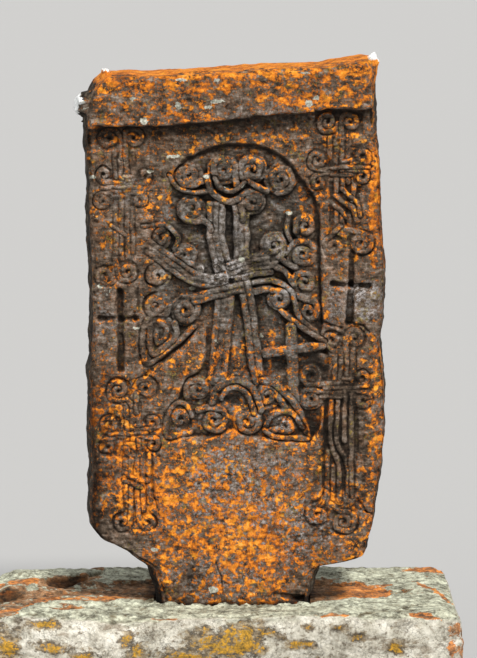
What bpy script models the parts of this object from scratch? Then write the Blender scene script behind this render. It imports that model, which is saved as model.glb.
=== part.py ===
"""A khachkar: a carved memorial cross-stone that stands by its tenon in a low base stone.

Two solids. The cross stone is one slab whose front carries all the carving: a cornice over a cavetto,
an arched niche with a flowering cross, knotted and incised crosses down both borders, and a plain
panel. The base stone is a rough block with the socket that holds the tenon.

Units are metres in the scene and millimetres in the functions. The slab is drawn in its own face
plane: x across from its centre line, z up from the top of the base stone, y back from the face.
The front looks towards -Y, and the origin is under the middle of the base stone.
"""
import bpy
import numpy as np

MM = 0.001

# Cross stone, millimetres
SLAB_THICK = 160.0
TENON_DEEP = 70.0            # how far the tenon goes down into the base stone
TENON_HALF = 173.0           # half width of the tenon at its foot
GRID = 4.0                   # spacing of the points that the carving is worked out on
SLAB_TRIANGLES = 7400
CORNICE_PROUD = 20.0
CAVETTO_HIGH = 30.0
CAVETTO_SHARE = 0.6          # how proud the cavetto's upper end is, as a share of the cornice
NICHE_DEEP = 20.0
ORNAMENT_TOP = -4.0          # the cross in the niche stands a little below the border's face
STRAND = 5.0                 # roundness, in height, of a carved strand
GROOVE = 6.0                 # width of the groove that parts a motif from the ground

# Slab outline: (height, half width to the left, half width to the right)
OUTLINE = (
    (-TENON_DEEP, TENON_HALF, TENON_HALF), (0, 174, 174), (12, 177, 177), (50, 188, 194), (72, 194, 204),
    (84, 200, 210), (90, 206, 222), (95, 213, 250), (100, 222, 272), (106, 230, 290), (112, 238, 300),
    (124, 252, 306), (132, 266, 306), (140, 280, 307), (148, 299, 309), (155, 308, 312), (165, 316, 316),
    (175, 323, 319), (200, 329, 323), (250, 328, 326), (300, 326, 336), (400, 329, 345), (500, 325, 343),
    (530, 330, 340), (560, 322, 337), (600, 322, 331), (650, 319, 339), (760, 319, 342), (860, 325, 332),
    (950, 321, 330), (1000, 328, 327), (1060, 329, 319), (1130, 328, 318), (1170, 322, 316), (1195, 314, 318),
    (1210, 305, 316), (1225, 285, 306))
NOMINAL_TOP = 1225.0         # height that the outline table runs up to, before the top edge's slope
# Top edge: (x, height)
TOP_EDGE = ((-320, 1188), (-270, 1191), (-150, 1193), (0, 1201), (90, 1209), (190, 1211), (290, 1227),
            (330, 1222))
# How far the face's edge stands in from the outline: (height, left, right)
ARRIS = ((-70, 22, 12), (5, 26, 13), (75, 26, 18), (104, 22, 12), (114, 22, 9), (150, 14, 9), (300, 20, 8),
         (700, 14, 8), (1000, 13, 8), (1100, 15, 14), (1225, 14, 12))
# Section from the face's edge to the back: (share of the way out to the outline, depth)
SECTION = ((0.10, 2.0), (0.45, 18.0), (0.85, 45.0), (1.0, 75.0), (0.96, 115.0), (0.82, 145.0))
BACK_SHARE = 0.55

# Base stone, millimetres: plan and height
BASE_HIGH = 260.0
BASE_GRID = 13.0
BASE_TRIANGLES = 1900
BASE_LEFT, BASE_RIGHT = -548.0, 501.0
BASE_FRONT = ((-550, -96), (-478, -98), (-272, -128), (-138, -114), (11, -106), (215, -92), (383, -98),
              (501, -92))
BASE_BACK = ((-550, 298), (0, 326), (501, 327))
BASE_MIDDLE = (-23.0, 98.0)  # the point its sides bulge away from
BASE_HALF = (524.0, 230.0)   # half its plan
RIM_DROP, RIM_WIDE = 9.0, 45.0   # the worn rim of its top, at the front and the ends
SOCKET_GAP = 4.5             # clearance round the tenon
FLOOR_GAP = 0.5              # clearance under it
# Section of its sides below the rim: (out, how rough, depth)
BASE_SECTION = ((1.0, 5.0, 9.0), (9.0, 9.0, 24.0), (14.0, 6.0, 60.0), (12.0, 10.0, 130.0),
                (4.0, 8.0, 210.0))


# ---------------------------------------------------------------- helpers

def smooth(share):
    """0 to 1 with flat ends, for a share that runs 0 to 1."""
    share = np.clip(share, 0.0, 1.0)
    return share * share * (3.0 - 2.0 * share)


def table(rows, column, at):
    """Column of a small table, read along its first column by straight lines."""
    rows = np.array(rows, float)
    return np.interp(at, rows[:, 0], rows[:, column])


def waves(seed, size, *where):
    """Smooth unevenness from -1 to 1 or so: a dozen plane waves about `size` long, seeded directions."""
    chance = np.random.default_rng(seed)
    total = np.zeros(np.broadcast(*where).shape)
    for _ in range(12):
        aim = chance.normal(size=len(where))
        aim *= 2.0 * np.pi / (size * chance.uniform(0.6, 2.0)) / np.linalg.norm(aim)
        total = total + np.sin(sum(a * w for a, w in zip(aim, where)) + chance.uniform(0, 2 * np.pi))
    return total / 5.0


def flowing(points, spacing=8.0):
    """A Catmull-Rom curve through the points, as a polyline."""
    points = np.array(points, float)
    ends = np.vstack([2 * points[0] - points[1], points, 2 * points[-1] - points[-2]])
    line = []
    for a, b, c, d in zip(ends[:-3], ends[1:-2], ends[2:-1], ends[3:]):
        count = max(int(np.hypot(*(c - b)) / spacing), 1)
        t = np.linspace(0.0, 1.0, count, endpoint=False)[:, None]
        line.append(0.5 * (2 * b + (c - a) * t + (2 * a - 5 * b + 4 * c - d) * t**2
                           + (3 * b - a - 3 * c + d) * t**3))
    return np.vstack(line + [points[-1:]])


def distance(line, x, z):
    """Distance of each point from a polyline."""
    best = np.full(x.shape, np.inf)
    for (ax, az), (bx, bz) in zip(line[:-1], line[1:]):
        dx, dz = bx - ax, bz - az
        share = np.clip(((x - ax) * dx + (z - az) * dz) / (dx * dx + dz * dz), 0.0, 1.0)
        best = np.minimum(best, np.hypot(x - ax - share * dx, z - az - share * dz))
    return best


# ---------------------------------------------------------------- carving

class Carving:
    """Height of the slab's face, towards the viewer, at the points (x, z)."""

    def __init__(self, x, z):
        self.x, self.z = x, z
        self.height = np.zeros_like(x)

    def lay(self, depth, crown, floor):
        """Set a motif: `depth` is how far a point is inside it, `crown` its surface, `floor` the groove."""
        bank = floor + (self.height - floor) * smooth((-depth - 1.0) / GROOVE)
        self.height = np.where(depth > 0.0, crown, np.minimum(self.height, bank))

    def sink(self, depth, fall, wall):
        """Lower the ground where depth is over 0, with a bank `wall` wide."""
        self.height = self.height - fall * smooth(depth / wall)

    def band(self, points, half, strands, top):
        """A band of parallel strands along a curve."""
        away = distance(flowing(points), self.x, self.z)
        side = np.abs((away / half + 1.0) / 2.0 * strands % 1.0 - 0.5) * 2.0
        ridge = STRAND * 0.6 * np.sqrt(np.clip(1.0 - side**2, 0.0, 1.0)) if strands < 3 else 2.0
        self.lay(half - away, top - STRAND * 0.6 + ridge, top - STRAND - 3.0)

    def volute(self, x, z, radius, top):
        """A coiled strand as a round boss with a ring groove and a drilled eye."""
        away = np.hypot(self.x - x, self.z - z)
        share = np.clip(away / radius, 0.0, 1.0)
        crown = top - 4.0 * np.cos(4.0 * np.pi * share) - STRAND * share**4
        self.lay(radius - away, crown, top - STRAND - 3.0)

    def leaf(self, x, z, radius, tip_x, tip_z, top):
        """A drop: a round end that narrows to a tip, with a drilled eye."""
        dx, dz = tip_x - x, tip_z - z
        length = np.hypot(dx, dz)
        along = ((self.x - x) * dx + (self.z - z) * dz) / length
        across = np.abs((self.x - x) * dz - (self.z - z) * dx) / length
        share = np.clip((along + across * radius / length) / length, 0.0, 1.0)
        depth = radius * (1.0 - share) - np.hypot(along - share * length, across)
        eye = 5.0 * smooth(1.0 - np.hypot(self.x - x, self.z - z) / 9.0)
        self.lay(depth, top - STRAND * (1.0 - smooth(depth / 9.0)) - eye, top - STRAND - 3.0)

    def chisel(self, start, end, wide, deep):
        """A straight incised stroke with sloping sides."""
        away = distance(np.array([start, end], float), self.x, self.z)
        self.height = self.height - deep * smooth(1.35 - away / (wide / 2.0 + 2.0))

    def knotted_cross(self, stem, arm, volutes):
        """A border cross: a band of strands upright, one across it, and volutes at the ends."""
        head, foot, half = stem
        left, right, arm_half = arm
        self.band([head, foot], half, 4, -1.0)
        self.band([left, right], arm_half, 3, 0.0)
        for x, z, radius in volutes:
            self.volute(x, z, radius, 0.0)


def niche_depth(x, z):
    """How far a point is inside the niche: an arch on slightly splayed sides, over a level sill."""
    middle = 2.0
    half = 190.0 + 12.0 * smooth((900.0 - z) / 300.0)
    spring, crown, sill = 870.0, 1039.0, 388.0
    ring = np.hypot((x - middle) / half, np.maximum(z - spring, 0.0) / (crown - spring))
    left_floor = sill + 160.0 * smooth((-150.0 - x) / 25.0)
    return np.minimum((1.0 - ring) * half, z - left_floor)


def carve_face(x, z):
    """All the carving on the front, from the ground levels up."""
    face = Carving(x, z)
    below = (1098.0 + 0.07 * x - z) / CAVETTO_HIGH
    cavetto = CAVETTO_SHARE * (1.0 - np.clip(below, 0.0, 1.0))**2
    face.height = CORNICE_PROUD * np.where(below < 0.0, 1.0, cavetto)
    face.sink(niche_depth(x, z), NICHE_DEEP, 9.0)
    face.chisel((216, 945), (217, 700), 9, 6)

    # border crosses, left from the top down, then right
    face.knotted_cross(((-240, 1040), (-240, 760), 30), ((-298, 943), (-182, 943), 12), (
        (-267, 1051, 25), (-210, 1054, 26), (-281, 975, 18), (-283, 911, 25), (-194, 970, 15),
        (-206, 917, 20), (-280, 748, 27), (-231, 756, 24)))
    for end in ((-249, 718), (-249, 533), (-290, 652), (-212, 653)):
        face.chisel((-249, 653), end, 10, 8)
    face.knotted_cross(((-214, 470), (-214, 210), 34), ((-290, 390), (-162, 392), 12), (
        (-249, 492, 28), (-192, 495, 28), (-273, 416, 25), (-277, 362, 24), (-175, 418, 20), (-177, 368, 20),
        (-239, 194, 24), (-191, 193, 24)))
    face.knotted_cross(((240, 1070), (250, 825), 32), ((175, 988), (305, 991), 12), (
        (209, 1088, 27), (259, 1088, 25), (189, 1006, 24), (193, 955, 17), (284, 1014, 21), (285, 965, 20),
        (226, 811, 24), (284, 811, 28)))
    for end in ((266, 795), (261, 640), (220, 729), (302, 731)):
        face.chisel((262, 730), end, 11, 9)
    face.knotted_cross(((248, 590), (232, 215), 36), ((170, 495), (308, 497), 14), (
        (222, 602, 24), (271, 607, 23), (176, 524, 25), (174, 472, 27), (291, 522, 20), (288, 470, 22),
        (189, 207, 31), (248, 188, 32)))

    # the flowering cross: leaves and volutes round it, then its limbs
    top = ORNAMENT_TOP
    face.leaf(-166, 600, 30, -195, 545, top)
    face.leaf(-150, 838, 26, -186, 862, top)
    face.leaf(160, 672, 24, 192, 640, top)
    for x0, z0, radius in (
            (-104, 785, 27), (-163, 748, 27), (-166, 679, 28), (-104, 673, 28), (92, 813, 25),
            (157, 796, 33), (160, 857, 24), (161, 733, 24), (106, 699, 28)):
        face.volute(x0, z0, radius, top)
    face.band([(-22, 740), (-30, 660), (-40, 540), (-44, 500)], 22, 2, top)
    face.band([(30, 745), (33, 680), (52, 560), (62, 490)], 16, 2, top)
    face.band([(-45, 885), (-38, 840), (-22, 770), (-10, 735)], 19, 2, top)
    face.band([(34, 885), (30, 800), (28, 740)], 14, 2, top)
    face.band([(0, 738), (45, 765), (90, 797)], 19, 2, top)
    face.band([(-165, 865), (-120, 815), (-75, 765), (-35, 750), (0, 742)], 17, 2, top)
    face.band([(-95, 705), (-50, 722), (0, 738)], 14, 2, top)
    face.band([(45, 740), (100, 738), (130, 725), (140, 700), (130, 670)], 7, 1, top)
    for x0, z0, radius in ((-88, 893, 28), (43, 911, 26), (-19, 983, 30), (42, 982, 26), (107, 961, 36)):
        face.volute(x0, z0, radius, top)
    face.leaf(-88, 965, 27, -46, 965, top)
    face.band([(-130, 970), (-120, 948), (-102, 933), (-82, 930), (-60, 936)], 7, 1, top)
    face.band([(-46, 962), (-30, 938), (-8, 925), (18, 934), (30, 952)], 10, 1, top)

    # a small plain cross beside the foot, and the palmette under it
    face.band([(134, 628), (134, 480)], 12, 1, top)
    face.band([(75, 585), (198, 585)], 10, 1, top)
    for x0, z0, radius in ((-77, 491, 30), (78, 475, 27), (-39, 416, 32), (34, 417, 30)):
        face.volute(x0, z0, radius, top)
    face.leaf(-113, 428, 32, -146, 384, top)
    face.leaf(115, 420, 32, 166, 376, top)
    face.band([(-52, 450), (-40, 490), (-20, 507), (5, 513), (33, 503), (48, 480), (55, 450)], 8, 1, top)
    return face.height


# ---------------------------------------------------------------- solids

def skin(near, rings, far):
    """Vertices and quads of a closed surface: a near grid, rings round its border, and a far grid."""
    rows, columns = near.shape[:2]
    index = np.arange(rows * columns).reshape(rows, columns)
    border = np.concatenate([index[0, :-1], index[:-1, -1], index[-1, :0:-1], index[:0:-1, 0]])
    points = [near.reshape(-1, 3)]
    loops = [border]
    start = rows * columns
    for ring in rings:
        points.append(ring.reshape(-1, 3)[border])
        loops.append(start + np.arange(len(border)))
        start += len(border)
    points.append(far.reshape(-1, 3))
    loops.append(start + border)
    a, b, c, d = index[:-1, :-1], index[:-1, 1:], index[1:, 1:], index[1:, :-1]
    quads = [np.stack([a, b, c, d], -1).reshape(-1, 4), start + np.stack([a, d, c, b], -1).reshape(-1, 4)]
    for outer, inner in zip(loops[:-1], loops[1:]):
        ahead = np.roll(outer, -1)
        quads.append(np.stack([ahead, outer, inner, np.roll(inner, -1)], -1))
    return np.vstack(points), np.vstack(quads)


def slab_sheet(share, depth, across, up):
    """The slab's cross grid at one depth: share 0 keeps the face's own edge, 1 goes out to the outline."""
    nominal = -TENON_DEEP + up * (NOMINAL_TOP + TENON_DEEP)
    drift = 2.5 * waves(5, 130.0, nominal, np.full_like(nominal, depth)) * smooth(nominal / 60.0)
    reach_left = table(OUTLINE, 1, nominal) - (1.0 - share) * table(ARRIS, 1, nominal) + drift * share
    reach_right = table(OUTLINE, 2, nominal) - (1.0 - share) * table(ARRIS, 2, nominal) - drift * share
    x = -reach_left + across * (reach_left + reach_right)
    crest = table(TOP_EDGE, 1, x) - 5.0 * (1.0 - share)
    z = nominal + (crest - NOMINAL_TOP) * smooth((nominal - 1000.0) / 225.0)
    return x, z


def cross_stone():
    """The slab: its carved face, a rough section round the edge, and a plain dressed back."""
    columns, rows = int(640 / GRID), int(1300 / GRID)
    across, up = np.meshgrid(np.linspace(0.0, 1.0, columns), np.linspace(0.0, 1.0, rows))
    x, z = slab_sheet(0.0, 0.0, across, up)
    rest = smooth(z / 20.0)
    near = np.stack([x, -(carve_face(x, z) + 1.2 * waves(2, 120.0, x, z)) * rest, z], -1)
    rings = []
    for share, depth in SECTION:
        xs, zs = slab_sheet(share, depth, across, up)
        rings.append(np.stack([xs, np.full_like(xs, depth), zs], -1))
    xb, zb = slab_sheet(BACK_SHARE, SLAB_THICK, across, up)
    hollow = (3.0 + 2.5 * waves(3, 260.0, xb, zb)) * smooth(zb / 60.0)
    edge = smooth(8.0 * np.minimum(np.minimum(across, 1.0 - across), np.minimum(up, 1.0 - up)))
    far = np.stack([xb, SLAB_THICK - hollow * (0.3 + 0.7 * edge), zb], -1)
    return skin(near, rings, far)


def spread(low, high, step):
    """Evenly spaced numbers from low to high, about a step apart."""
    return np.linspace(low, high, max(int(round((high - low) / step)), 1) + 1)


def base_stone():
    """The base: a weathered top with a socket, sides that bulge a little, and a flat underside."""
    left, right = -TENON_HALF - SOCKET_GAP, TENON_HALF + SOCKET_GAP
    front, back = -SOCKET_GAP, SLAB_THICK + SOCKET_GAP
    lip = 0.6
    xs = np.concatenate([spread(BASE_LEFT, left, BASE_GRID), spread(left + lip, right - lip, BASE_GRID),
                         spread(right, BASE_RIGHT, BASE_GRID)])
    ys = np.concatenate([spread(-1.0, 0.0, 0.12), 1.0 + spread(0.0, 1.0, 0.1), 3.0 + spread(0.0, 1.0, 0.1)])
    x, v = np.meshgrid(xs, ys)
    front_edge, back_edge = table(BASE_FRONT, 1, x), table(BASE_BACK, 1, x)
    socket_y = front + lip + (v - 1.0) * (back - front - 2.0 * lip)
    y = np.select([v <= 0.0, v <= 2.0], [front + (front - front_edge) * v, socket_y],
                  back + (v - 3.0) * (back_edge - back))
    inside = (x > left) & (x < right) & (y > front) & (y < back)
    ridges = 5.0 * waves(11, 150.0, 0.35 * x, y) + 3.0 * waves(12, 60.0, 0.5 * x, y)
    rim = np.minimum(np.minimum(x - BASE_LEFT, BASE_RIGHT - x), y - front_edge)
    top = ridges - RIM_DROP * (1.0 - smooth(rim / RIM_WIDE))
    z = np.where(inside, -TENON_DEEP - FLOOR_GAP, top)
    near = np.stack([x, y, z], -1)

    outward = (np.stack([x, y], -1) - BASE_MIDDLE) / BASE_HALF
    outward /= np.abs(outward).max(-1, keepdims=True) + 1e-9
    rings = []
    for out, rough, down in BASE_SECTION:
        push = out + rough * 0.5 * waves(21, 130.0, x, y, np.full_like(x, down))
        rings.append(np.stack([x + outward[..., 0] * push, y + outward[..., 1] * push,
                               np.minimum(z, top - down)], -1))
    far = np.stack([x, y, np.full_like(x, -BASE_HIGH)], -1)
    return skin(near, rings, far)


def stone(name, shape, triangles, colour, roughness):
    """Make one solid's object, thinned to its triangle budget, with its own material."""
    points, quads = shape
    mesh = bpy.data.meshes.new(name)
    mesh.from_pydata(points * MM, [], quads.tolist())
    mesh.update()
    piece = bpy.data.objects.new(name, mesh)
    bpy.context.scene.collection.objects.link(piece)
    thin = piece.modifiers.new("thin", 'DECIMATE')
    thin.ratio = triangles / (2.0 * len(quads))
    material = bpy.data.materials.new(name)
    material.use_nodes = True
    shader = material.node_tree.nodes["Principled BSDF"]
    shader.inputs["Base Color"].default_value = (*colour, 1.0)
    shader.inputs["Roughness"].default_value = roughness
    mesh.materials.append(material)
    return piece


def main():
    for thing in list(bpy.data.objects):
        bpy.data.objects.remove(thing)
    slab_points, slab_quads = cross_stone()
    base_points, base_quads = base_stone()
    low, high = base_points.min(0), base_points.max(0)
    origin = np.array([(low[0] + high[0]) / 2.0, (low[1] + high[1]) / 2.0, low[2]])
    stone("cross_stone", (slab_points - origin, slab_quads), SLAB_TRIANGLES, (0.14, 0.10, 0.08), 0.92)
    stone("base_stone", (base_points - origin, base_quads), BASE_TRIANGLES, (0.42, 0.41, 0.36), 0.95)


main()
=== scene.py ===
"""Looks of the khachkar: its carved, lichen-grown slab and its crusted base stone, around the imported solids.

Shapes are worked out in millimetres in the slab's own face plane: x across from its centre line, z up
from the top of the base stone, y back from the face. SLAB_ORIGIN puts them into the frame, in metres.
"""
import math

import bpy
import numpy as np
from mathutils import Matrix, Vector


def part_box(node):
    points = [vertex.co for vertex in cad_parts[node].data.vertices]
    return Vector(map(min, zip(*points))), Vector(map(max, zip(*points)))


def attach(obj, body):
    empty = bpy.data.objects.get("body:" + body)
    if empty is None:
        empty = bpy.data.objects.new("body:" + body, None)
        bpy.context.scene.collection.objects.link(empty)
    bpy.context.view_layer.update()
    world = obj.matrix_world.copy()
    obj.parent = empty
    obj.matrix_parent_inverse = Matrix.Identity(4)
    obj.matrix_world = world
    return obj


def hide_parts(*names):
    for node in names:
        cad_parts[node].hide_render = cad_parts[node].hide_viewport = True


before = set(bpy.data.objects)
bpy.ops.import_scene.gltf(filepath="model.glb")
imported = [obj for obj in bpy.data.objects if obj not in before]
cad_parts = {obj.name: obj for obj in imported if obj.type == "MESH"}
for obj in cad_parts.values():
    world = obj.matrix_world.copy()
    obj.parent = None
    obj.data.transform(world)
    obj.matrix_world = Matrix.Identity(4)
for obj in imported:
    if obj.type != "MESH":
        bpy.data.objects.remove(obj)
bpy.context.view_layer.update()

MM = 0.001

# The slab's place, from its solid: its centre line is left of its box's middle
CENTRE_LEFT, SLAB_THICK, TENON_DEEP = 7.5, 160.0, 70.0
slab_low, slab_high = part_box("cross_stone")
SLAB_ORIGIN = np.array([(slab_low[0] + slab_high[0]) / 2.0 - CENTRE_LEFT * MM,
                        slab_high[1] - SLAB_THICK * MM,
                        slab_low[2] + TENON_DEEP * MM])
BASE_HIGH = SLAB_ORIGIN[2] / MM

# ------------------------------------------------------------------ the outline, millimetres

# (height, reach to the left, reach to the right)
OUTLINE = np.array((
    (-70, 173, 173), (0, 174, 174), (12, 177, 177), (50, 188, 194), (72, 194, 204), (84, 200, 210),
    (90, 206, 222), (95, 213, 250), (100, 222, 272), (106, 230, 290), (112, 238, 300), (124, 252, 306),
    (132, 266, 306), (140, 280, 307), (148, 299, 309), (155, 308, 312), (165, 316, 316), (175, 323, 319),
    (200, 329, 323), (250, 328, 326), (300, 326, 336), (400, 329, 345), (500, 325, 343), (530, 330, 340),
    (560, 322, 337), (600, 322, 331), (650, 319, 339), (760, 319, 342), (860, 325, 332), (950, 321, 330),
    (1000, 328, 327), (1060, 329, 319), (1130, 328, 318), (1170, 322, 316), (1195, 314, 318),
    (1210, 305, 316), (1225, 285, 306)), float)
TOP_EDGE = np.array((
    (-320, 1188), (-270, 1191), (-150, 1193), (0, 1201), (90, 1209), (190, 1211), (290, 1227),
    (330, 1222)), float)
# How far the face's edge stands in from the outline: (height, left, right)
ARRIS = np.array((
    (-70, 22, 12), (5, 26, 13), (40, 26, 22), (75, 28, 30), (96, 26, 20), (114, 22, 9), (150, 16, 9),
    (300, 20, 8), (700, 14, 8), (1000, 13, 8), (1100, 15, 14), (1225, 14, 12)), float)
# Section from the face's edge to the back: (depth, share of the way out to the outline)
SECTION = np.array(((2, 0.1), (18, 0.45), (45, 0.85), (75, 1.0), (115, 0.96), (145, 0.82), (160, 0.55)))
# Depths of the rings of points round the slab's edge
RING_DEPTHS = (2, 6, 11, 17, 24, 32, 41, 51, 62, 74, 87, 101, 115, 129, 142, 152)
NOMINAL_TOP = 1225.0
FACE_WIDE, FACE_HIGH = 640, 1300      # what the face's grid is counted by
FACE_GRID = 2.0
SLAB_TRIANGLES = 196000
CORNICE_FOOT, CORNICE_SLOPE = 1096.0, 0.082         # its lower edge: height on the centre line, and slope
CORNICE_PROUD, CAVETTO_HIGH = 20.0, 30.0

# ------------------------------------------------------------------ numbers and noise


def smooth(value, width=1):
    """0 to 1 with flat ends over a width: three squares less two cubes of a share held between 0 and 1."""
    share = np.clip(value / width, 0, 1)
    return share * share * (3 - 2 * share)


def table(rows, column, at):
    """A column of a small table, read along its first column by straight lines."""
    return np.interp(at, rows[:, 0], rows[:, column])


def turned(x, y, degrees):
    """Distances along and across a direction that leans by some degrees."""
    c, s = math.cos(math.radians(degrees)), math.sin(math.radians(degrees))
    return x * c + y * s, y * c - x * s


def pairs(numbers):
    """Numbers two by two, as points (x, z)."""
    return np.reshape(np.array(numbers, float), (-1, 2))


LATTICE = np.random.default_rng(7).uniform(-1.0, 1.0, (64, 64, 64))


def grain(size, *where, octaves=3, shift=0):
    """Lumps from -1 to 1, `size` long: a random lattice read by smooth steps, each octave half as long
    and half as high as the one before."""
    total = 0
    for octave in range(octaves):
        spots = [np.asarray(w) * (2**octave / size) + shift + 17.3 * octave for w in where]
        while len(spots) < 3:
            spots.append(np.full_like(spots[0], 0.5 + shift))
        low = [np.floor(s).astype(int) for s in spots]
        part = [smooth(s - f) for s, f in zip(spots, low)]
        value = 0
        for corner in range(8):
            bits = [(corner >> k) & 1 for k in range(3)]
            weight = 1
            for bit, share in zip(bits, part):
                weight = weight * (share if bit else 1 - share)
            i, j, k = [(f + bit) % 64 for f, bit in zip(low, bits)]
            value = value + weight * LATTICE[i, j, k]
        total = total + value * 0.5**octave
    return total


def blurred(field, reach):
    """A grid smoothed by a bell curve `reach` cells wide, by way of its frequencies."""
    down = np.fft.fftfreq(field.shape[0])[:, None]
    sideways = np.fft.rfftfreq(field.shape[1])[None, :]
    bell = np.exp(-2 * (math.pi * reach)**2 * (down**2 + sideways**2))
    return np.fft.irfft2(np.fft.rfft2(field) * bell, s=field.shape)


def flowing(points, spacing=4):
    """A Catmull-Rom curve through the points: each stretch is a cubic that leaves a point along the line
    between its neighbours."""
    points = pairs(points)
    ends = np.vstack([2 * points[0] - points[1], points, 2 * points[-1] - points[-2]])
    line = []
    for a, b, c, d in zip(ends[:-3], ends[1:-2], ends[2:-1], ends[3:]):
        count = max(int(np.hypot(*(c - b)) / spacing), 1)
        t = np.linspace(0, 1, count, endpoint=False)[:, None]
        line.append(0.5 * (2 * b + (c - a) * t + (2 * a - 5 * b + 4 * c - d) * t**2
                           + (3 * b - a - 3 * c + d) * t**3))
    return np.vstack(line + [points[-1:]])


# ------------------------------------------------------------------ the carving

CELL = 1.0                    # spacing of the grid that the carving is cut on
GRID_LEFT, GRID_RIGHT, GRID_FOOT, GRID_TOP = -350.0, 350.0, -80.0, 1250.0
STRAND = 5.6                  # half width of a carved strand
BORDER_COIL, NICHE_COIL = 5.9, 6.9      # half width of a coil's strand
VEE, PALMETTE_VEE = 3.0, 5.5            # width of the V groove beside it
BORDER_LEVEL, NICHE_LEVEL, PALMETTE_LEVEL = -0.5, -3.5, -2.0      # how high the strands stand
BORDER_CUT = 0.72             # how deep the border's grooves are cut, as a share of the niche's
STRAND_RISE, STRAND_GROOVE = 3.6, 4.4   # how far a strand's side falls, and how deep its groove is
COIL_RISE, COIL_GROOVE = 3.2, 4.6
EYE, DRILL_WIDE, DRILL_DEEP = 4.5, 3.6, 6.0         # where a coil stops, and the hole in its middle
SUNK_DISC = 7.0               # how deep the ground of a coil or a leaf lies
BAND_GROOVE = 0.55            # how deep the grooves inside a band are, as a share of those beside it
FAR_OFF = 1e9


def coil(centre, radius, start, hand, half, squash, lean):
    """A spiral strand's middle line. It starts at angle `start` on the rim and winds in evenly to the eye,
    a little squared; hand 1 is anticlockwise, squash stretches it and lean turns it."""
    outer = radius - half
    turns = max((outer - EYE) / (2 * half + 1.2), 0.8)
    t = np.linspace(0, 1, max(int(turns * 30), 12))
    angle = math.radians(start) + hand * 2 * math.pi * turns * t
    reach = (outer + (EYE - outer) * t) * (1 - 0.045 * np.cos(4 * angle))
    across, up = turned(reach * np.cos(angle), reach * np.sin(angle) * squash, -lean)
    return np.stack([centre[0] + across, centre[1] + up], -1)


def along(start, end, x, z):
    """How far along a straight stretch the point nearest to each place is, 0 to 1, and how far off it is."""
    dx, dz = end[0] - start[0], end[1] - start[1]
    share = np.clip(((x - start[0]) * dx + (z - start[1]) * dz) / (dx * dx + dz * dz + 1e-9), 0, 1)
    return share, np.hypot(x - start[0] - share * dx, z - start[1] - share * dz)


def outline_depth(points, x, z):
    """Distance in from a closed outline, below 0 outside it: the nearest edge, signed by crossings."""
    points = pairs(points)
    inside = np.zeros(x.shape, bool)
    best = np.full(x.shape, FAR_OFF)
    for a, b in zip(points, np.roll(points, -1, axis=0)):
        best = np.minimum(best, along(a, b, x, z)[1])
        if a[1] != b[1]:
            inside ^= ((a[1] > z) != (b[1] > z)) & (x < (b[0] - a[0]) * (z - a[1]) / (b[1] - a[1]) + a[0])
    return np.where(inside, best, -best)


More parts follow.
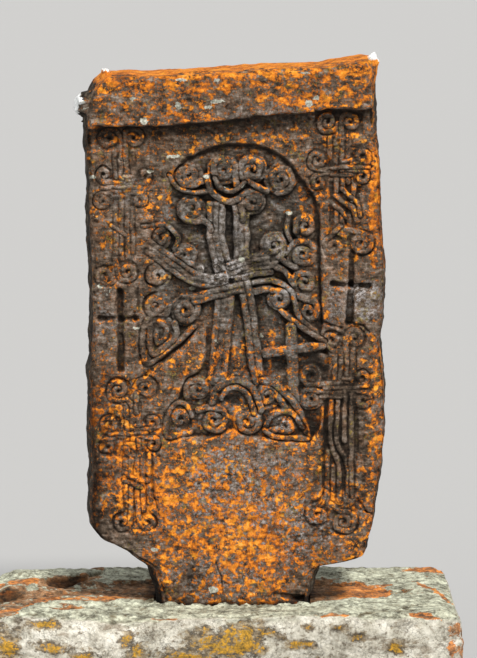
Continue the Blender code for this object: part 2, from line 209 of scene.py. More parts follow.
class Carving:
    """The height of the slab's face towards the viewer, on an even grid, cut stroke by stroke."""

    def __init__(self):
        self.x, self.z = np.meshgrid(np.arange(GRID_LEFT, GRID_RIGHT + 1, CELL),
                                     np.arange(GRID_FOOT, GRID_TOP + 1, CELL))
        self.height = np.zeros_like(self.x)
        self.level, self.cut, self.coil_half, self.vee = BORDER_LEVEL, BORDER_CUT, BORDER_COIL, VEE

    def read(self, field, x, z):
        """A grid's value between its points, by two straight lines."""
        u = np.clip((x - GRID_LEFT) / CELL, 0, field.shape[1] - 1.001)
        v = np.clip((z - GRID_FOOT) / CELL, 0, field.shape[0] - 1.001)
        i, j = v.astype(int), u.astype(int)
        p, q = v - i, u - j
        low = field[i, j] * (1 - q) + field[i, j + 1] * q
        high = field[i + 1, j] * (1 - q) + field[i + 1, j + 1] * q
        return low * (1 - p) + high * p

    def window(self, line, margin):
        """The grid's rows and columns round a line."""
        line = pairs(line)
        low = ((line.min(0) - margin - (GRID_LEFT, GRID_FOOT)) / CELL).astype(int)
        high = ((line.max(0) + margin - (GRID_LEFT, GRID_FOOT)) / CELL).astype(int) + 2
        return slice(max(low[1], 0), high[1]), slice(max(low[0], 0), high[0])

    def oval(self, x, z, half_x, half_z, lean=0):
        """A window round an oval, and each point's distance from its middle as a share of the way out."""
        window = self.window((x, z), max(half_x, half_z) + 2)
        run, rise = turned(self.x[window] - x, self.z[window] - z, lean)
        return window, np.hypot(run / half_x, rise / half_z)

    def sink(self, x, z, half_x, half_z, lean=0):
        """Cut a flat oval ground."""
        window, out = self.oval(x, z, half_x, half_z, lean)
        ground = self.level - SUNK_DISC * self.cut
        self.height[window] = np.where(out < 1, ground, self.height[window])

    def strand(self, points, half=STRAND, lift=0, rise=STRAND_RISE, count=1):
        """A rounded strand that flows through points (x, z, x, z, ...), or a band of `count` side by side,
        with a V groove beside it. Across a strand the height falls by `rise` in a half round with a flattened
        top. A band's ends are cut square."""
        line = flowing(points) if len(points) > 4 else pairs(points)
        self.lay(line, half, self.level + lift, rise, STRAND_GROOVE * self.cut, count)

    def strands(self, half, lift, *lines):
        """Several strands of one kind."""
        for line in lines:
            self.strand(line, half=half, lift=lift)

    def lay(self, line, half, level, rise, groove, count):
        """Lay a strand along a line that is already close-set."""
        window = self.window(line, half + self.vee + 2)
        x, z, height = self.x[window], self.z[window], self.height[window]
        away = np.full(x.shape, FAR_OFF)
        for start, end in zip(line[:-1], line[1:]):
            away = np.minimum(away, along(start, end, x, z)[1])
        if count > 1:
            for end, inner in ((line[0], line[1]), (line[-1], line[-2])):
                beyond = ((x - end[0]) * (end[0] - inner[0]) + (z - end[1]) * (end[1] - inner[1])) > 0
                away = np.where(beyond & (away < 2.5 * half), FAR_OFF, away)
        phase = (away / half + (0 if count % 2 else 1 / count)) * count / 2
        across = np.abs(phase - np.round(phase)) * 2
        top = level - rise * (1 - np.sqrt(np.clip(1 - across**3, 0, 1)))
        if count > 1:
            top = top - BAND_GROOVE * groove * smooth(across - 0.68, 0.32)
        floor = level - rise - groove
        out = (away - half) / self.vee
        bank = floor + (np.maximum(height, floor) - floor) * smooth(out)**0.8
        beside = np.where(out < 1, np.minimum(height, bank), height)
        self.height[window] = np.where(away < half, top, beside)

    def volute(self, x, z, radius, start, hand, *stem, squash=1, lean=0):
        """A strand that follows its stem and winds into a coil on a sunk disc, with a drilled eye. No two
        coils are quite the same shape."""
        squash *= 1 + 0.08 * math.sin(0.37 * x + 0.23 * z)
        lean += 14 * math.sin(0.21 * x - 0.31 * z)
        spiral = coil((x, z), radius, start, hand, self.coil_half, squash, lean)
        line = np.vstack([flowing([*stem, *spiral[0]])[:-1], spiral]) if stem else spiral
        self.sink(x, z, radius - 1, (radius - 1) * squash, lean)
        self.lay(line, self.coil_half, self.level, COIL_RISE, COIL_GROOVE * self.cut, 1)
        self.drill(x, z, DRILL_WIDE, DRILL_DEEP)

    def volutes(self, *rows):
        """Several volutes, each given as (x, z, radius, start, hand, points of its stem)."""
        for row in rows:
            self.volute(*row)

    def drill(self, x, z, radius, deep):
        """A drilled hole with a rounded mouth."""
        window, out = self.oval(x, z, radius * 1.6, radius * 1.6)
        self.height[window] -= deep * smooth(1.5 - 1.6 * out)

    def scoop(self, x, z, half_x, half_z, deep, lean=0):
        """A soft hollow, or a swelling where deep is below 0."""
        window, out = self.oval(x, z, half_x, half_z, lean)
        self.height[window] -= deep * smooth(1.6 * (1 - out))

    def chisel(self, *line, wide=(7, 7), deep=(5, 5)):
        """A straight incised stroke with sloping sides; its width and depth run evenly from end to end."""
        window = self.window(line, max(wide) + 1)
        share, away = along(*pairs(line), self.x[window], self.z[window])
        half = (wide[0] + (wide[1] - wide[0]) * share) / 2
        self.height[window] -= (deep[0] + (deep[1] - deep[0]) * share) * smooth(1.7 * (1 - away / half))

    def chisels(self, *rows):
        """Several strokes, each given as (x, z, x, z, width, width, depth, depth) from end to end."""
        for *line, wide, end_wide, deep, end_deep in rows:
            self.chisel(*line, wide=(wide, end_wide), deep=(deep, end_deep))


NICHE = (
    (-190, 868), (-172, 925), (-148, 972), (-118, 1001), (-80, 1018), (-40, 1035), (0, 1042), (45, 1040),
    (85, 1029), (115, 1012), (134, 993), (152, 968), (166, 948), (180, 932), (188, 905), (193, 860),
    (196, 800), (198, 740), (199, 690), (203, 640), (200, 614), (214, 588), (220, 560), (216, 520),
    (206, 480), (200, 420), (192, 392), (172, 377), (130, 377), (90, 378), (60, 382), (30, 384), (0, 397),
    (-38, 384), (-70, 382), (-95, 384), (-140, 380), (-150, 400), (-150, 440), (-124, 470), (-112, 500),
    (-100, 522), (-72, 540), (-62, 580), (-66, 634), (-100, 592), (-130, 568), (-165, 548), (-198, 540),
    (-200, 620), (-197, 700), (-193, 780), (-190, 840))
# Sunk ground of the four border crosses: (middle x, middle z, half width, half height, depth)
BORDER_FIELDS = (
    (-240, 1052, 62, 30, 2.5), (-238, 840, 28, 90, 4), (-212, 270, 36, 90, 5), (-218, 392, 62, 60, 2),
    (233, 1088, 58, 32, 7), (236, 985, 62, 60, 4), (248, 900, 40, 60, 6), (246, 560, 34, 40, 3),
    (240, 370, 40, 110, 8), (236, 485, 60, 55, 4), (222, 200, 66, 46, 3))


def cut_ground(face):
    """The cornice over its cavetto, the sunk niche, and the borders' shallower ground."""
    x, z = face.x, face.z
    below = (CORNICE_FOOT + CORNICE_SLOPE * x + 3 * np.sin(x / 60) - z) / CAVETTO_HIGH
    cavetto = 0.6 * (1 - np.clip(below, 0, 1))**2
    cavetto -= 0.12 * smooth(below * 8) * (1 - smooth(below - 0.15, 0.35))
    height = CORNICE_PROUD * np.where(below < 0, 1, cavetto)
    for middle_x, middle_z, half_x, half_z, deep in BORDER_FIELDS:
        edge = np.minimum(half_x - np.abs(x - middle_x), half_z - np.abs(z - middle_z))
        share = smooth(edge + 3 * grain(20, x, z, shift=0.8, octaves=2), 8)
        height -= share * (deep + 0.6 * np.maximum(height, 0))
    inside = outline_depth(flowing(NICHE + NICHE[:1], 8), x, z)
    # the niche deepens away from its edge and upwards; its wall slopes gently at the upper left
    deep = 12 + 8 * smooth(inside - 10, 45) * smooth(z - 480, 200) - 7 * smooth(-110 - x, 50)
    wall = 7 + 34 * smooth(-90 - x, 50) * smooth(z - 560, 80)
    sunk = smooth(inside + 1, wall)
    face.height = height * (1 - sunk) - deep * sunk
    face.chisels((190, 905, 197, 640, 9, 9, 6, 5), (-207, 720, -205, 560, 8, 8, 5, 5))
    face.scoop(12, 585, 22, 75, -7)
    face.scoop(12, 520, 40, 20, -5)


def cut_upper_left(face):
    """The left border's upper knotted cross: heads, arms and feet of volutes on interlaced stems."""
    face.strands(6, 0, (-255, 1030, -255, 960))
    face.strands(5.5, 0, (-243, 1040, -243, 780))
    face.strands(5.8, 0, (-230, 1040, -229, 780))
    face.strands(5.5, 0, (-216, 1030, -216, 955))
    face.strands(5.8, 0, (-256, 900, -254, 800, -262, 770))
    face.strands(5, 0, (-219, 900, -217, 800))
    face.volutes(
        (-281, 748, 28, 0, -1, -255, 800), (-231, 757, 28, 180, 1, -258, 790),
        (-282, 972, 22, -90, -1, -240, 951), (-192, 968, 21, -90, 1, -230, 948),
        (-283, 914, 25, 90, 1, -240, 938), (-203, 917, 23, 90, -1, -235, 936),
        (-269, 1051, 30, 20, 1, -240, 1010, -240, 1035), (-213, 1053, 28, 160, -1, -232, 1010))
    face.strands(4.6, 0.8, (-287, 944, -198, 944))
    face.strands(4.2, 0.5, (-236, 968, -218, 968), (-264, 925, -240, 925))
    face.strands(4.6, 0.8, (-266, 862, -234, 838))


def cut_lower_left(face):
    """The left border's lower knotted cross, longer, with five stems."""
    for x, foot in ((-238, 230), (-226, 200), (-213, 220), (-200, 210), (-187, 235)):
        face.strand((x, 345, x + 1, foot), half=5.4)
    for x in (-234, -221, -208):
        face.strand((x, 460, x, 345), half=5.2)
    face.volutes(
        (-247, 190, 25, 0, -1, -226, 240), (-190, 191, 25, 180, 1, -212, 240),
        (-272, 413, 27, -90, -1, -238, 388), (-178, 418, 23, -90, 1, -215, 397),
        (-277, 364, 24, 90, 1, -240, 386), (-177, 368, 21, 90, -1, -205, 388),
        (-252, 491, 31, -60, -1, -222, 455, -226, 462), (-191, 497, 31, 190, -1, -212, 440))
    face.strands(4.4, 0.8, (-275, 392, -190, 394))
    face.strands(4.4, 0.5, (-236, 370, -221, 370), (-216, 412, -198, 412))
    face.strands(5.4, 0.8, (-240, 303, -214, 290, -188, 287))
    face.strands(5, 0.5, (-242, 286, -220, 276, -204, 272))
    face.chisels((-178, 342, -175, 245, 7, 7, 5, 5), (-175, 245, -163, 204, 7, 5, 5, 3))


def cut_upper_right(face):
    """The right border's upper knotted cross, its strands crossing over half way down."""
    face.strands(
        5.4, 0, (214, 1062, 214, 1010), (228, 1070, 228, 990), (241, 1070, 241, 990), (254, 1062, 254, 1010),
        (228, 990, 228, 935), (242, 990, 242, 942), (255, 990, 255, 955), (268, 985, 268, 940, 264, 915),
        (230, 890, 228, 848), (243, 882, 243, 850), (258, 880, 258, 856))
    face.volutes(
        (224, 814, 28, 100, 1, 238, 860), (284, 821, 34, 110, -1, 250, 852),
        (284, 1012, 24, -90, 1, 262, 992), (190, 956, 22, 90, 1, 222, 978), (285, 967, 21, 90, -1, 258, 983),
        (188, 1003, 29, -60, -1, 222, 986), (208, 1087, 30, -20, -1, 226, 1040, 232, 1062),
        (259, 1087, 27, 200, -1, 240, 1040))
    face.strands(4.4, 0.8, (216, 987, 300, 990))
    face.strands(4.4, 0.5, (218, 971, 262, 972), (242, 1001, 262, 1004))
    face.strands(5.6, 0.8, (226, 926, 246, 910, 266, 897, 276, 868))
    face.strands(5, 0.3, (240, 942, 258, 926, 276, 908, 282, 880), (224, 903, 240, 892, 252, 878))


def cut_lower_right(face):
    """The right border's lower knotted cross: four stems that step aside, and two great feet."""
    face.strands(
        5.6, 0, (227, 590, 228, 505), (241, 590, 241, 505), (255, 590, 255, 505), (268, 580, 268, 505),
        (220, 470, 220, 372, 238, 322, 241, 240), (235, 470, 235, 372, 258, 322, 258, 250),
        (251, 500, 251, 375), (266, 500, 266, 340, 268, 250), (212, 352, 212, 235), (226, 318, 226, 240))
    face.volutes(
        (190, 208, 32, 60, 1, 210, 260), (249, 190, 35, 110, -1, 222, 232), (288, 519, 23, -100, 1, 262, 500),
        (174, 523, 26, -60, -1, 236, 508, 205, 505), (290, 470, 25, 90, -1, 262, 494),
        (175, 472, 29, 60, 1, 240, 484, 208, 487), (222, 602, 27, -30, -1, 242, 568),
        (272, 608, 27, 200, -1, 256, 568, 252, 590))
    face.strands(4.4, 0.8, (205, 497, 300, 499))
    face.strands(4.4, 0.5, (248, 517, 266, 517))
    face.strands(4.4, 0.2, (198, 478, 240, 474))
    for line in ((200, 646, 244, 632), (258, 640, 290, 637), (290, 637, 304, 624), (282, 246, 302, 212),
                 (288, 220, 314, 208), (205, 465, 207, 372), (280, 450, 279, 335), (202, 352, 202, 250)):
        face.chisel(*line, wide=(8, 7))


def cut_plain_crosses(face):
    """The incised crosses between the knotted ones: straight strokes, wider and deeper at their ends."""
    face.chisels(
        (-247, 714, -247, 650, 23, 21, 14, 11), (-247, 650, -246, 540, 21, 23, 11, 14),
        (-292, 652, -262, 653, 18, 14, 13, 9), (-214, 652, -236, 653, 18, 13, 13, 9),
        (-215, 666, -214, 648, 9, 11, 6, 7), (264, 798, 263, 735, 17, 19, 9, 11),
        (262, 732, 260, 646, 20, 25, 12, 15), (222, 730, 262, 727, 20, 16, 14, 11),
        (262, 727, 300, 726, 16, 21, 11, 14))


def cut_flowering_cross(face):
    """The cross in the niche: side volutes and leaves first, then its limbs, then its crown."""
    face.level, face.cut, face.coil_half = NICHE_LEVEL, 1, NICHE_COIL
    face.strands(5, 0, (126, 888, 121, 850, 130, 824))
    face.volute(161, 857, 30, 200, -1, squash=1.1)
    face.volutes(
        (160, 733, 31, 180, -1, 96, 766, 116, 758), (157, 796, 37, 150, -1, 70, 768, 96, 776),
        (92, 813, 32, -60, 1, 140, 766, 118, 778))
    face.volute(168, 668, 30, 120, -1, 130, 706, squash=1.15)
    face.strands(6, 0, (24, 724, 45, 730, 80, 737, 108, 731, 130, 714, 139, 688, 150, 655, 186, 622))
    face.volute(104, 696, 28, 100, -1, 50, 712, 76, 719)
    face.strands(6.5, 0, (108, 670, 138, 645, 168, 624, 204, 603))
    face.chisels((112, 651, 206, 578, 10, 20, 5, 10))
    face.volutes((-164, 748, 32, 90, 1), (-167, 680, 34, 0, -1, -112, 698))
    face.volute(-103, 669, 34, 80, -1, -60, 708, squash=1.05, lean=-30)
    face.volute(-105, 792, 30, -60, -1, -68, 762)
    face.strands(5.2, 0, (-196, 858, -165, 861, -136, 852, -119, 830, -128, 806))
    face.volute(-157, 830, 23, 60, 1, squash=1.1, lean=30)
    # nested leaf at the lower left
    face.sink(-158, 606, 40, 52)
    face.strands(6.8, 0, (-188, 650, -197, 620, -198, 580, -190, 552, -168, 558, -128, 592, -84, 632))
    face.strands(7, 0, (-128, 640, -124, 616, -146, 590, -174, 572, -183, 600, -180, 636))
    face.strands(5.6, 0, (-160, 644, -146, 630, -150, 608, -166, 596, -168, 620))
    face.chisels((-192, 526, -66, 634, 12, 11, 7, 8))
    # limbs: (half width, strands side by side, points)
    for half, count, *line in (
            (21, 3, -12, 738, -19, 660, -25, 600, -32, 540, -38, 500),
            (15.5, 2, 26, 740, 39, 660, 46, 600, 54, 540, 67, 484),
            (21, 3, -34, 912, -36, 850, -27, 790, -12, 738),
            (18, 3, 18, 912, 21, 850, 21, 790, 18, 745),
            (17.5, 3, -188, 814, -166, 799, -132, 774, -102, 752, -74, 739, -42, 733, -10, 740),
            (13, 2, -90, 692, -50, 704, -8, 715, 26, 722),
            (21, 4, -8, 756, 36, 772, 82, 784),
            (7, 1, 10, 742, 50, 750, 84, 756)):
        face.strand(line, half=half, count=count)
    face.drill(-2, 733, 6.5, 11)
    # crown
    face.volutes(
        (-88, 893, 34, -40, -1, -46, 850, -52, 862), (43, 911, 32, 180, -1, 24, 872), (107, 962, 38, 250, 1),
        (43, 983, 34, 215, -1, 76, 934, 46, 950))
    face.strands(STRAND, 0, (-56, 936, -90, 932, -122, 945, -138, 970))
    face.volute(-96, 969, 35, -30, -1, -52, 966, -62, 958, squash=0.92)
    face.volute(-19, 982, 37, -20, 1, 10, 950)
    face.strands(6, 0.6, (-38, 962, -27, 944, -6, 936, 14, 941, 26, 955))
    face.strands(7.5, 0.8, (-56, 966, -48, 938, -28, 920, -5, 912, 15, 917))


def cut_palmette(face):
    """A small plain cross, and the palmette of volutes and leaves that the great cross stands on."""
    face.strand((130, 632, 138, 468), half=12, rise=2.6)
    face.strand((74, 573, 198, 589), half=10.5, rise=2.6)
    face.scoop(104, 546, 22, 20, 5)
    face.level, face.vee = PALMETTE_LEVEL, PALMETTE_VEE
    face.volutes((-77, 491, 33, 200, -1), (80, 479, 32, -20, 1, 118, 452))
    face.strands(7.5, 0, (68, 512, 92, 508, 122, 480, 146, 448, 160, 415, 170, 384))
    face.strands(
        5.8, 0, (-92, 396, -114, 390, -143, 384, -147, 412, -140, 442, -122, 462, -100, 456, -90, 432))
    face.volute(-118, 424, 24, 0, 1, squash=1.3, lean=-15)
    face.strands(5.8, 0, (74, 408, 90, 434, 118, 442, 142, 431, 156, 406))
    face.volute(119, 411, 25, -120, 1, 84, 398, squash=0.82, lean=-12)
    face.strands(5.5, 0, (72, 400, 94, 386, 128, 383, 168, 381))
    face.volutes((-40, 422, 37, 120, -1, -74, 446), (34, 420, 33, 10, -1, 64, 450))
    face.strands(7.5, 0.8, (-44, 464, -38, 490, -16, 508, 12, 513, 38, 501, 55, 476, 64, 444))
    face.strands(6, 0.5, (-24, 470, -14, 490, 6, 497, 26, 490, 40, 466, 48, 438))
    face.scoop(0, 468, 26, 17, 11, -8)


def weather(face):
    """Wear: strokes wander by a hair, edges are worn soft in places, and grain and pits roughen it all."""
    x, z = face.x, face.z
    stray_x, stray_z = (1.9 * grain(24, x, z, shift=shift, octaves=2) for shift in (7.3, 3.7))
    height = blurred(face.read(face.height, x + stray_x, z + stray_z), 0.7)
    worn = smooth(0.45 + 0.8 * grain(60, x, z, shift=5.9, octaves=2) + 0.3 * smooth(-170 - x, 30))
    height += 0.62 * worn * (blurred(height, 3.2) - height)
    # grain: (height, size, squeezed across, octaves, shift)
    for high, size, squeeze, octaves, shift in (
            (1.4, 150, 1, 3, 0.3), (1.3, 34, 0.7, 2, 1.3), (1.7, 11, 0.7, 2, 2.3), (0.9, 4.5, 0.8, 1, 6.3)):
        height += high * grain(size, squeeze * x, z, shift=shift, octaves=octaves)
    height -= 2 * smooth(grain(16, x, z, shift=4.7, octaves=2) - 0.55, 0.5)
    face.height = height


def carve_face():
    """All the carving on the front, from the ground levels up, then its wear."""
    face = Carving()
    for cut in (cut_ground, cut_upper_left, cut_lower_left, cut_upper_right, cut_lower_right,
                cut_plain_crosses, cut_flowering_cross, cut_palmette):
        cut(face)
    # a crack in the panel, and the broken lower right corner of the foot
    face.chisels(
        (-37, 96, -24, 66, 6, 6, 3.5, 3.5), (-24, 66, -20, 28, 6, 6, 3.5, 3.5),
        (96, 24, 168, 10, 12, 22, 5, 12))
    face.scoop(150, 4, 40, 16, 9, 12)
    weather(face)
    return face


# ------------------------------------------------------------------ surfaces


def skin(near, rings, far):
    """Points and quads of a closed surface: a near grid, rings round its border, and a far grid."""
    rows, columns = near.shape[:2]
    index = np.arange(rows * columns).reshape(rows, columns)
    border = np.concatenate([index[0, :-1], index[:-1, -1], index[-1, :0:-1], index[:0:-1, 0]])
    points = [near.reshape(-1, 3)]
    loops = [border]
    start = rows * columns
    for ring in rings:
        points.append(ring.reshape(-1, 3)[border])
        loops.append(start + np.arange(len(border)))
        start += len(border)
    points.append(far.reshape(-1, 3))
    loops.append(start + border)
    a, b, c, d = index[:-1, :-1], index[:-1, 1:], index[1:, 1:], index[1:, :-1]
    quads = [np.stack([a, b, c, d], -1).reshape(-1, 4), start + np.stack([a, d, c, b], -1).reshape(-1, 4)]
    for outer, inner in zip(loops[:-1], loops[1:]):
        quads.append(np.stack([np.roll(outer, -1), outer, inner, np.roll(inner, -1)], -1))
    return np.vstack(points), np.vstack(quads)


def mesh_from(name, points, quads):
    """A mesh of quads from whole arrays."""
    mesh = bpy.data.meshes.new(name)
    mesh.vertices.add(len(points))
    mesh.vertices.foreach_set("co", points.astype(np.float32).ravel())
    mesh.loops.add(quads.size)
    mesh.loops.foreach_set("vertex_index", quads.astype(np.int32).ravel())
    mesh.polygons.add(len(quads))
    mesh.polygons.foreach_set("loop_start", np.arange(0, quads.size, 4, dtype=np.int32))
    mesh.update(calc_edges=True)
    return mesh


def stone(name, shape, triangles):
    """A stone's object: its surface thinned to a number of triangles, smooth shaded, in the frame."""
    points, quads = shape
    draft = bpy.data.objects.new(name, mesh_from(name, points * MM + SLAB_ORIGIN, quads))
    bpy.context.scene.collection.objects.link(draft)
    thin = draft.modifiers.new("thin", 'DECIMATE')
    thin.ratio = min(1, triangles / (2 * len(quads)))
    finished = bpy.data.meshes.new_from_object(draft.evaluated_get(bpy.context.evaluated_depsgraph_get()))
    bpy.data.objects.remove(draft)
    finished.shade_smooth()
    piece = bpy.data.objects.new(name, finished)
    bpy.context.scene.collection.objects.link(piece)
    return piece


def spots(piece):
    """A stone's own points, in millimetres."""
    co = np.empty(len(piece.data.vertices) * 3, np.float32)
    piece.data.vertices.foreach_get("co", co)
    return (co.reshape(-1, 3).astype(float) - SLAB_ORIGIN) / MM


def note(piece, **layers):
    """Write named numbers from 0 to 1 for each vertex, for the material to read."""
    for name, values in layers.items():
        layer = piece.data.attributes.new(name, 'FLOAT', 'POINT')
        layer.data.foreach_set("value", np.clip(values, 0, 1).astype(np.float32))


# ------------------------------------------------------------------ the slab

# Tufts of pale growth standing out from the rim: (x, z, depth, reach, how far out, how far up)
TUFTS = ((-327, 1127, 32, 40, -21, 0), (-278, 1192, 30, 17, -4, 15), (312, 1222, 30, 26, 8, 13))


def slab_sheet(share, across, up, rough=0, depth=0):
    """The slab's cross grid: a share of 0 keeps the face's own edge, and 1 goes out to the outline.
    Heights are bent near the top to follow the sloping top edge."""
    nominal = -TENON_DEEP + up * (NOMINAL_TOP + TENON_DEEP)
    in_left, in_right = table(ARRIS, 1, nominal), table(ARRIS, 2, nominal)
    broken = (3 + 3 * smooth(120 - nominal, 30)) * grain(46, nominal, shift=3.1, octaves=4)
    broken = broken * smooth(nominal, 40)
    left = table(OUTLINE, 1, nominal) - (1 - share) * (in_left + broken)
    right = table(OUTLINE, 2, nominal) - (1 - share) * (in_right + 0.5 * broken)
    if np.any(rough):
        left = left + rough * grain(38, nominal, depth + 0 * nominal, shift=5.5, octaves=4)
        right = right + rough * grain(38, nominal, depth + 0 * nominal, shift=9.5, octaves=4)
    x = -left + across * (left + right)
    crest = table(TOP_EDGE, 1, x) - 5 * (1 - share)
    if np.any(rough):
        crest = crest + 0.8 * rough * grain(42, x, depth + 0 * x, shift=1.5, octaves=4)
    z = nominal + (crest - NOMINAL_TOP) * smooth(nominal - 1000, 225)
    return x, z, np.minimum(np.minimum(x + left, right - x), crest - z)


def slab_shape(face):
    """The slab: its carved face, a rough section round the edge, and a plainly dressed back."""
    columns, rows = int(FACE_WIDE / FACE_GRID), int(FACE_HIGH / FACE_GRID)
    across, up = np.meshgrid(np.linspace(0, 1, columns), np.linspace(0, 1, rows))
    x, z, rim = slab_sheet(0, across, up)
    shown = smooth(z, 12)
    relief = face.read(face.height, x, z)
    arris = 7 * (1 - smooth(rim, 9 + 5 * grain(30, x, z, shift=2.2)))
    near = np.stack([x, -(relief - arris) * shown, z], -1)
    rings = []
    for depth in RING_DEPTHS:
        share = table(SECTION, 1, depth)
        rough = (3.4 + 2.4 * smooth(130 - z, 40)) * smooth(depth, 24) * smooth(z + 4, 30)
        xs, zs, _ = slab_sheet(share, across, up, rough, depth)
        for middle_x, middle_z, middle_y, reach, out_x, out_z in TUFTS:
            away = np.sqrt((xs - middle_x)**2 + (zs - middle_z)**2 + (depth - middle_y)**2) / reach
            swell = smooth(1.6 * (1 - away + 0.25 * grain(9, xs, zs, depth + 0 * xs, shift=3.3)))
            xs, zs = xs + out_x * swell, zs + out_z * swell
        rings.append(np.stack([xs, np.full_like(xs, depth), zs], -1))
    xb, zb, edge = slab_sheet(table(SECTION, 1, SLAB_THICK), across, up)
    dressed = 3.5 + 2.6 * grain(120, xb, zb, shift=4.4) + 1.2 * grain(22, xb, zb, shift=6.1, octaves=2)
    dressed = dressed * smooth(edge, 30) + 5 * (1 - smooth(edge, 14))
    far = np.stack([xb, SLAB_THICK - dressed * smooth(zb, 20), zb], -1)
    return skin(near, rings, far)


# Whitish crusts, as ovals on the face: (x, z, half width, half height)
CRUSTS = (
    (-180, 980, 13, 7), (-128, 1012, 17, 6), (-190, 1092, 11, 10), (-116, 1126, 8, 9), (-30, 1134, 20, 5),
    (-52, 1122, 10, 5), (168, 1130, 10, 10), (182, 1142, 9, 6), (-57, 967, 10, 5), (-12, 945, 12, 4),
    (25, 945, 6, 6), (64, 612, 4, 8), (-212, 631, 14, 5), (-290, 726, 10, 8), (-174, 128, 13, 6),
    (-306, 968, 10, 6), (126, 886, 9, 4), (-42, 34, 15, 9), (-85, 718, 9, 6), (-32, 1180, 9, 6),
    (-215, 1140, 8, 6), (20, 785, 7, 8), (-276, 1206, 18, 14), (318, 1238, 24, 24), (-346, 1127, 22, 42),
    (-112, 1180, 14, 4), (160, 1196, 16, 4))
# Grimy zones, some of them painted shadows (under the cornice, beneath the small cross's arms): ovals, and how
# much
GRIME_AND_SHADOWS = (
    (0, 800, 110, 190, 0.09), (240, 950, 80, 190, 0.16), (0, 1060, 260, 50, 0.07), (240, 400, 80, 300, 0.24),
    (-245, 640, 70, 460, 0.06), (40, 960, 180, 70, 0.04), (-300, 400, 60, 280, 0.14),
    (-262, 370, 60, 120, 0.08), (165, 400, 40, 50, 0.34), (160, 565, 40, 50, 0.26), (190, 190, 50, 90, 0.16),
    (-270, 190, 60, 70, 0.14), (-20, 660, 60, 60, -0.04), (135, 8, 60, 16, 0.25), (196, 560, 34, 70, 0.22),
    (176, 640, 40, 40, 0.16), (176, 430, 24, 60, 0.2), (104, 545, 26, 26, 0.3), (207, 375, 20, 120, 0.3),
    (-80, 45, 60, 40, 0.06), (-87, 76, 38, 32, 0.3), (-120, 30, 60, 30, 0.12), (130, 760, 60, 160, 0.08))
# How much of the front orange lichen covers: (height, share), and where it is more or less than that
COVER = np.array((
    (0, 0.46), (60, 0.52), (120, 0.57), (190, 0.56), (240, 0.5), (320, 0.4), (390, 0.35), (500, 0.28),
    (600, 0.2), (680, 0.16), (800, 0.14), (900, 0.15), (1000, 0.22), (1060, 0.34), (1092, 0.32)), float)
ORANGE = (
    (10, 150, 150, 90, 0.16), (-110, 290, 90, 110, 0.12), (245, 900, 70, 170, 0.18),
    (312, 560, 40, 120, 0.1), (-285, 440, 56, 120, 0.24), (-200, 300, 110, 110, 0.18),
    (-165, 900, 46, 70, 0.24), (170, 915, 40, 60, 0.26), (195, 690, 26, 70, 0.18), (0, 560, 150, 60, 0.16),
    (-285, 860, 30, 90, 0.12), (178, 410, 26, 60, 0.1), (-250, 780, 50, 110, 0.14),
    (-318, 625, 26, 60, 0.16), (-200, 395, 60, 40, 0.16), (84, 1050, 60, 26, 0.16),
    (-250, 1040, 50, 40, 0.12), (85, 150, 50, 50, 0.14), (180, 1130, 50, 40, 0.2), (25, 1122, 80, 40, -0.3),
    (-160, 1122, 50, 40, -0.14), (-285, 170, 70, 50, -0.16), (-82, 78, 46, 38, -0.34),
    (10, 800, 110, 120, -0.1), (290, 680, 50, 60, -0.14), (250, 385, 56, 130, -0.3),
    (215, 170, 120, 70, -0.26), (-250, 140, 80, 60, -0.46), (60, 340, 90, 40, -0.12),
    (-250, 1120, 70, 30, -0.18), (-318, 1130, 30, 60, -0.4), (158, 46, 30, 34, -0.3),
    (-120, 40, 50, 40, -0.16))
ORANGE_RIM = ((316, 930, 30, 230, 0.58), (325, 470, 30, 260, 0.22))
# Where the stone is bleached whitish grey
PALE = (
    (300, 680, 44, 70, 0.9), (235, 690, 40, 60, 0.5), (-10, 755, 80, 40, 1), (-20, 840, 60, 80, 0.4),
    (100, 815, 40, 40, 0.5), (125, 418, 46, 26, 0.9), (-122, 424, 26, 36, 0.6), (0, 250, 180, 150, 0.75),
    (150, 170, 110, 80, 0.7), (-40, 70, 150, 70, 0.5), (110, 700, 60, 50, 0.4), (-240, 940, 50, 60, 0.4),
    (-280, 640, 40, 80, 0.4), (110, 1110, 160, 40, 0.3))


def patches(rows, x, z, soft=0.5, size=40):
    """Each of a table's ovals in turn: its amount in the middle (1 if none is given), falling to 0 over a
    soft edge that noise makes ragged."""
    ragged = 0.35 * grain(size, x, z, shift=8.8)
    for middle_x, middle_z, half_x, half_z, *amount in rows:
        away = np.hypot((x - middle_x) / half_x, (z - middle_z) / half_z) + ragged
        yield sum(amount or (1,)) * smooth(1 - away, soft)


def under_cornice(x, z):
    """How far a point is below the cornice's lower edge."""
    return CORNICE_FOOT + CORNICE_SLOPE * x - z


def orange_cover(x, y, z):
    """The share of the surface that orange lichen covers: most on the cornice, the panel and the right rim,
    least on the great cross and on the sides."""
    cover = table(COVER, 1, z)
    edge = smooth(z - 1158 - 0.06 * x, 30)
    cover = cover + smooth(2 - under_cornice(x, z), 6) * (0.5 + 0.22 * edge - cover)
    cover += sum(patches(ORANGE, x, z)) + sum(patches(ORANGE_RIM, x, z, 0.6))
    front = smooth(26 - y, 20)
    right = smooth(x, 200) * smooth(60 - y, 30) * smooth(z - 640, 120)
    right = right * (1 - 0.8 * smooth(z - 1050, 40))
    return cover * front + (1 - front) * (0.06 + np.maximum(0.9 * crest_share(z), 0.5 * right))


def crest_share(z):
    """0 on the slab's faces and 1 on its top."""
    return smooth(z - 1165, 15)


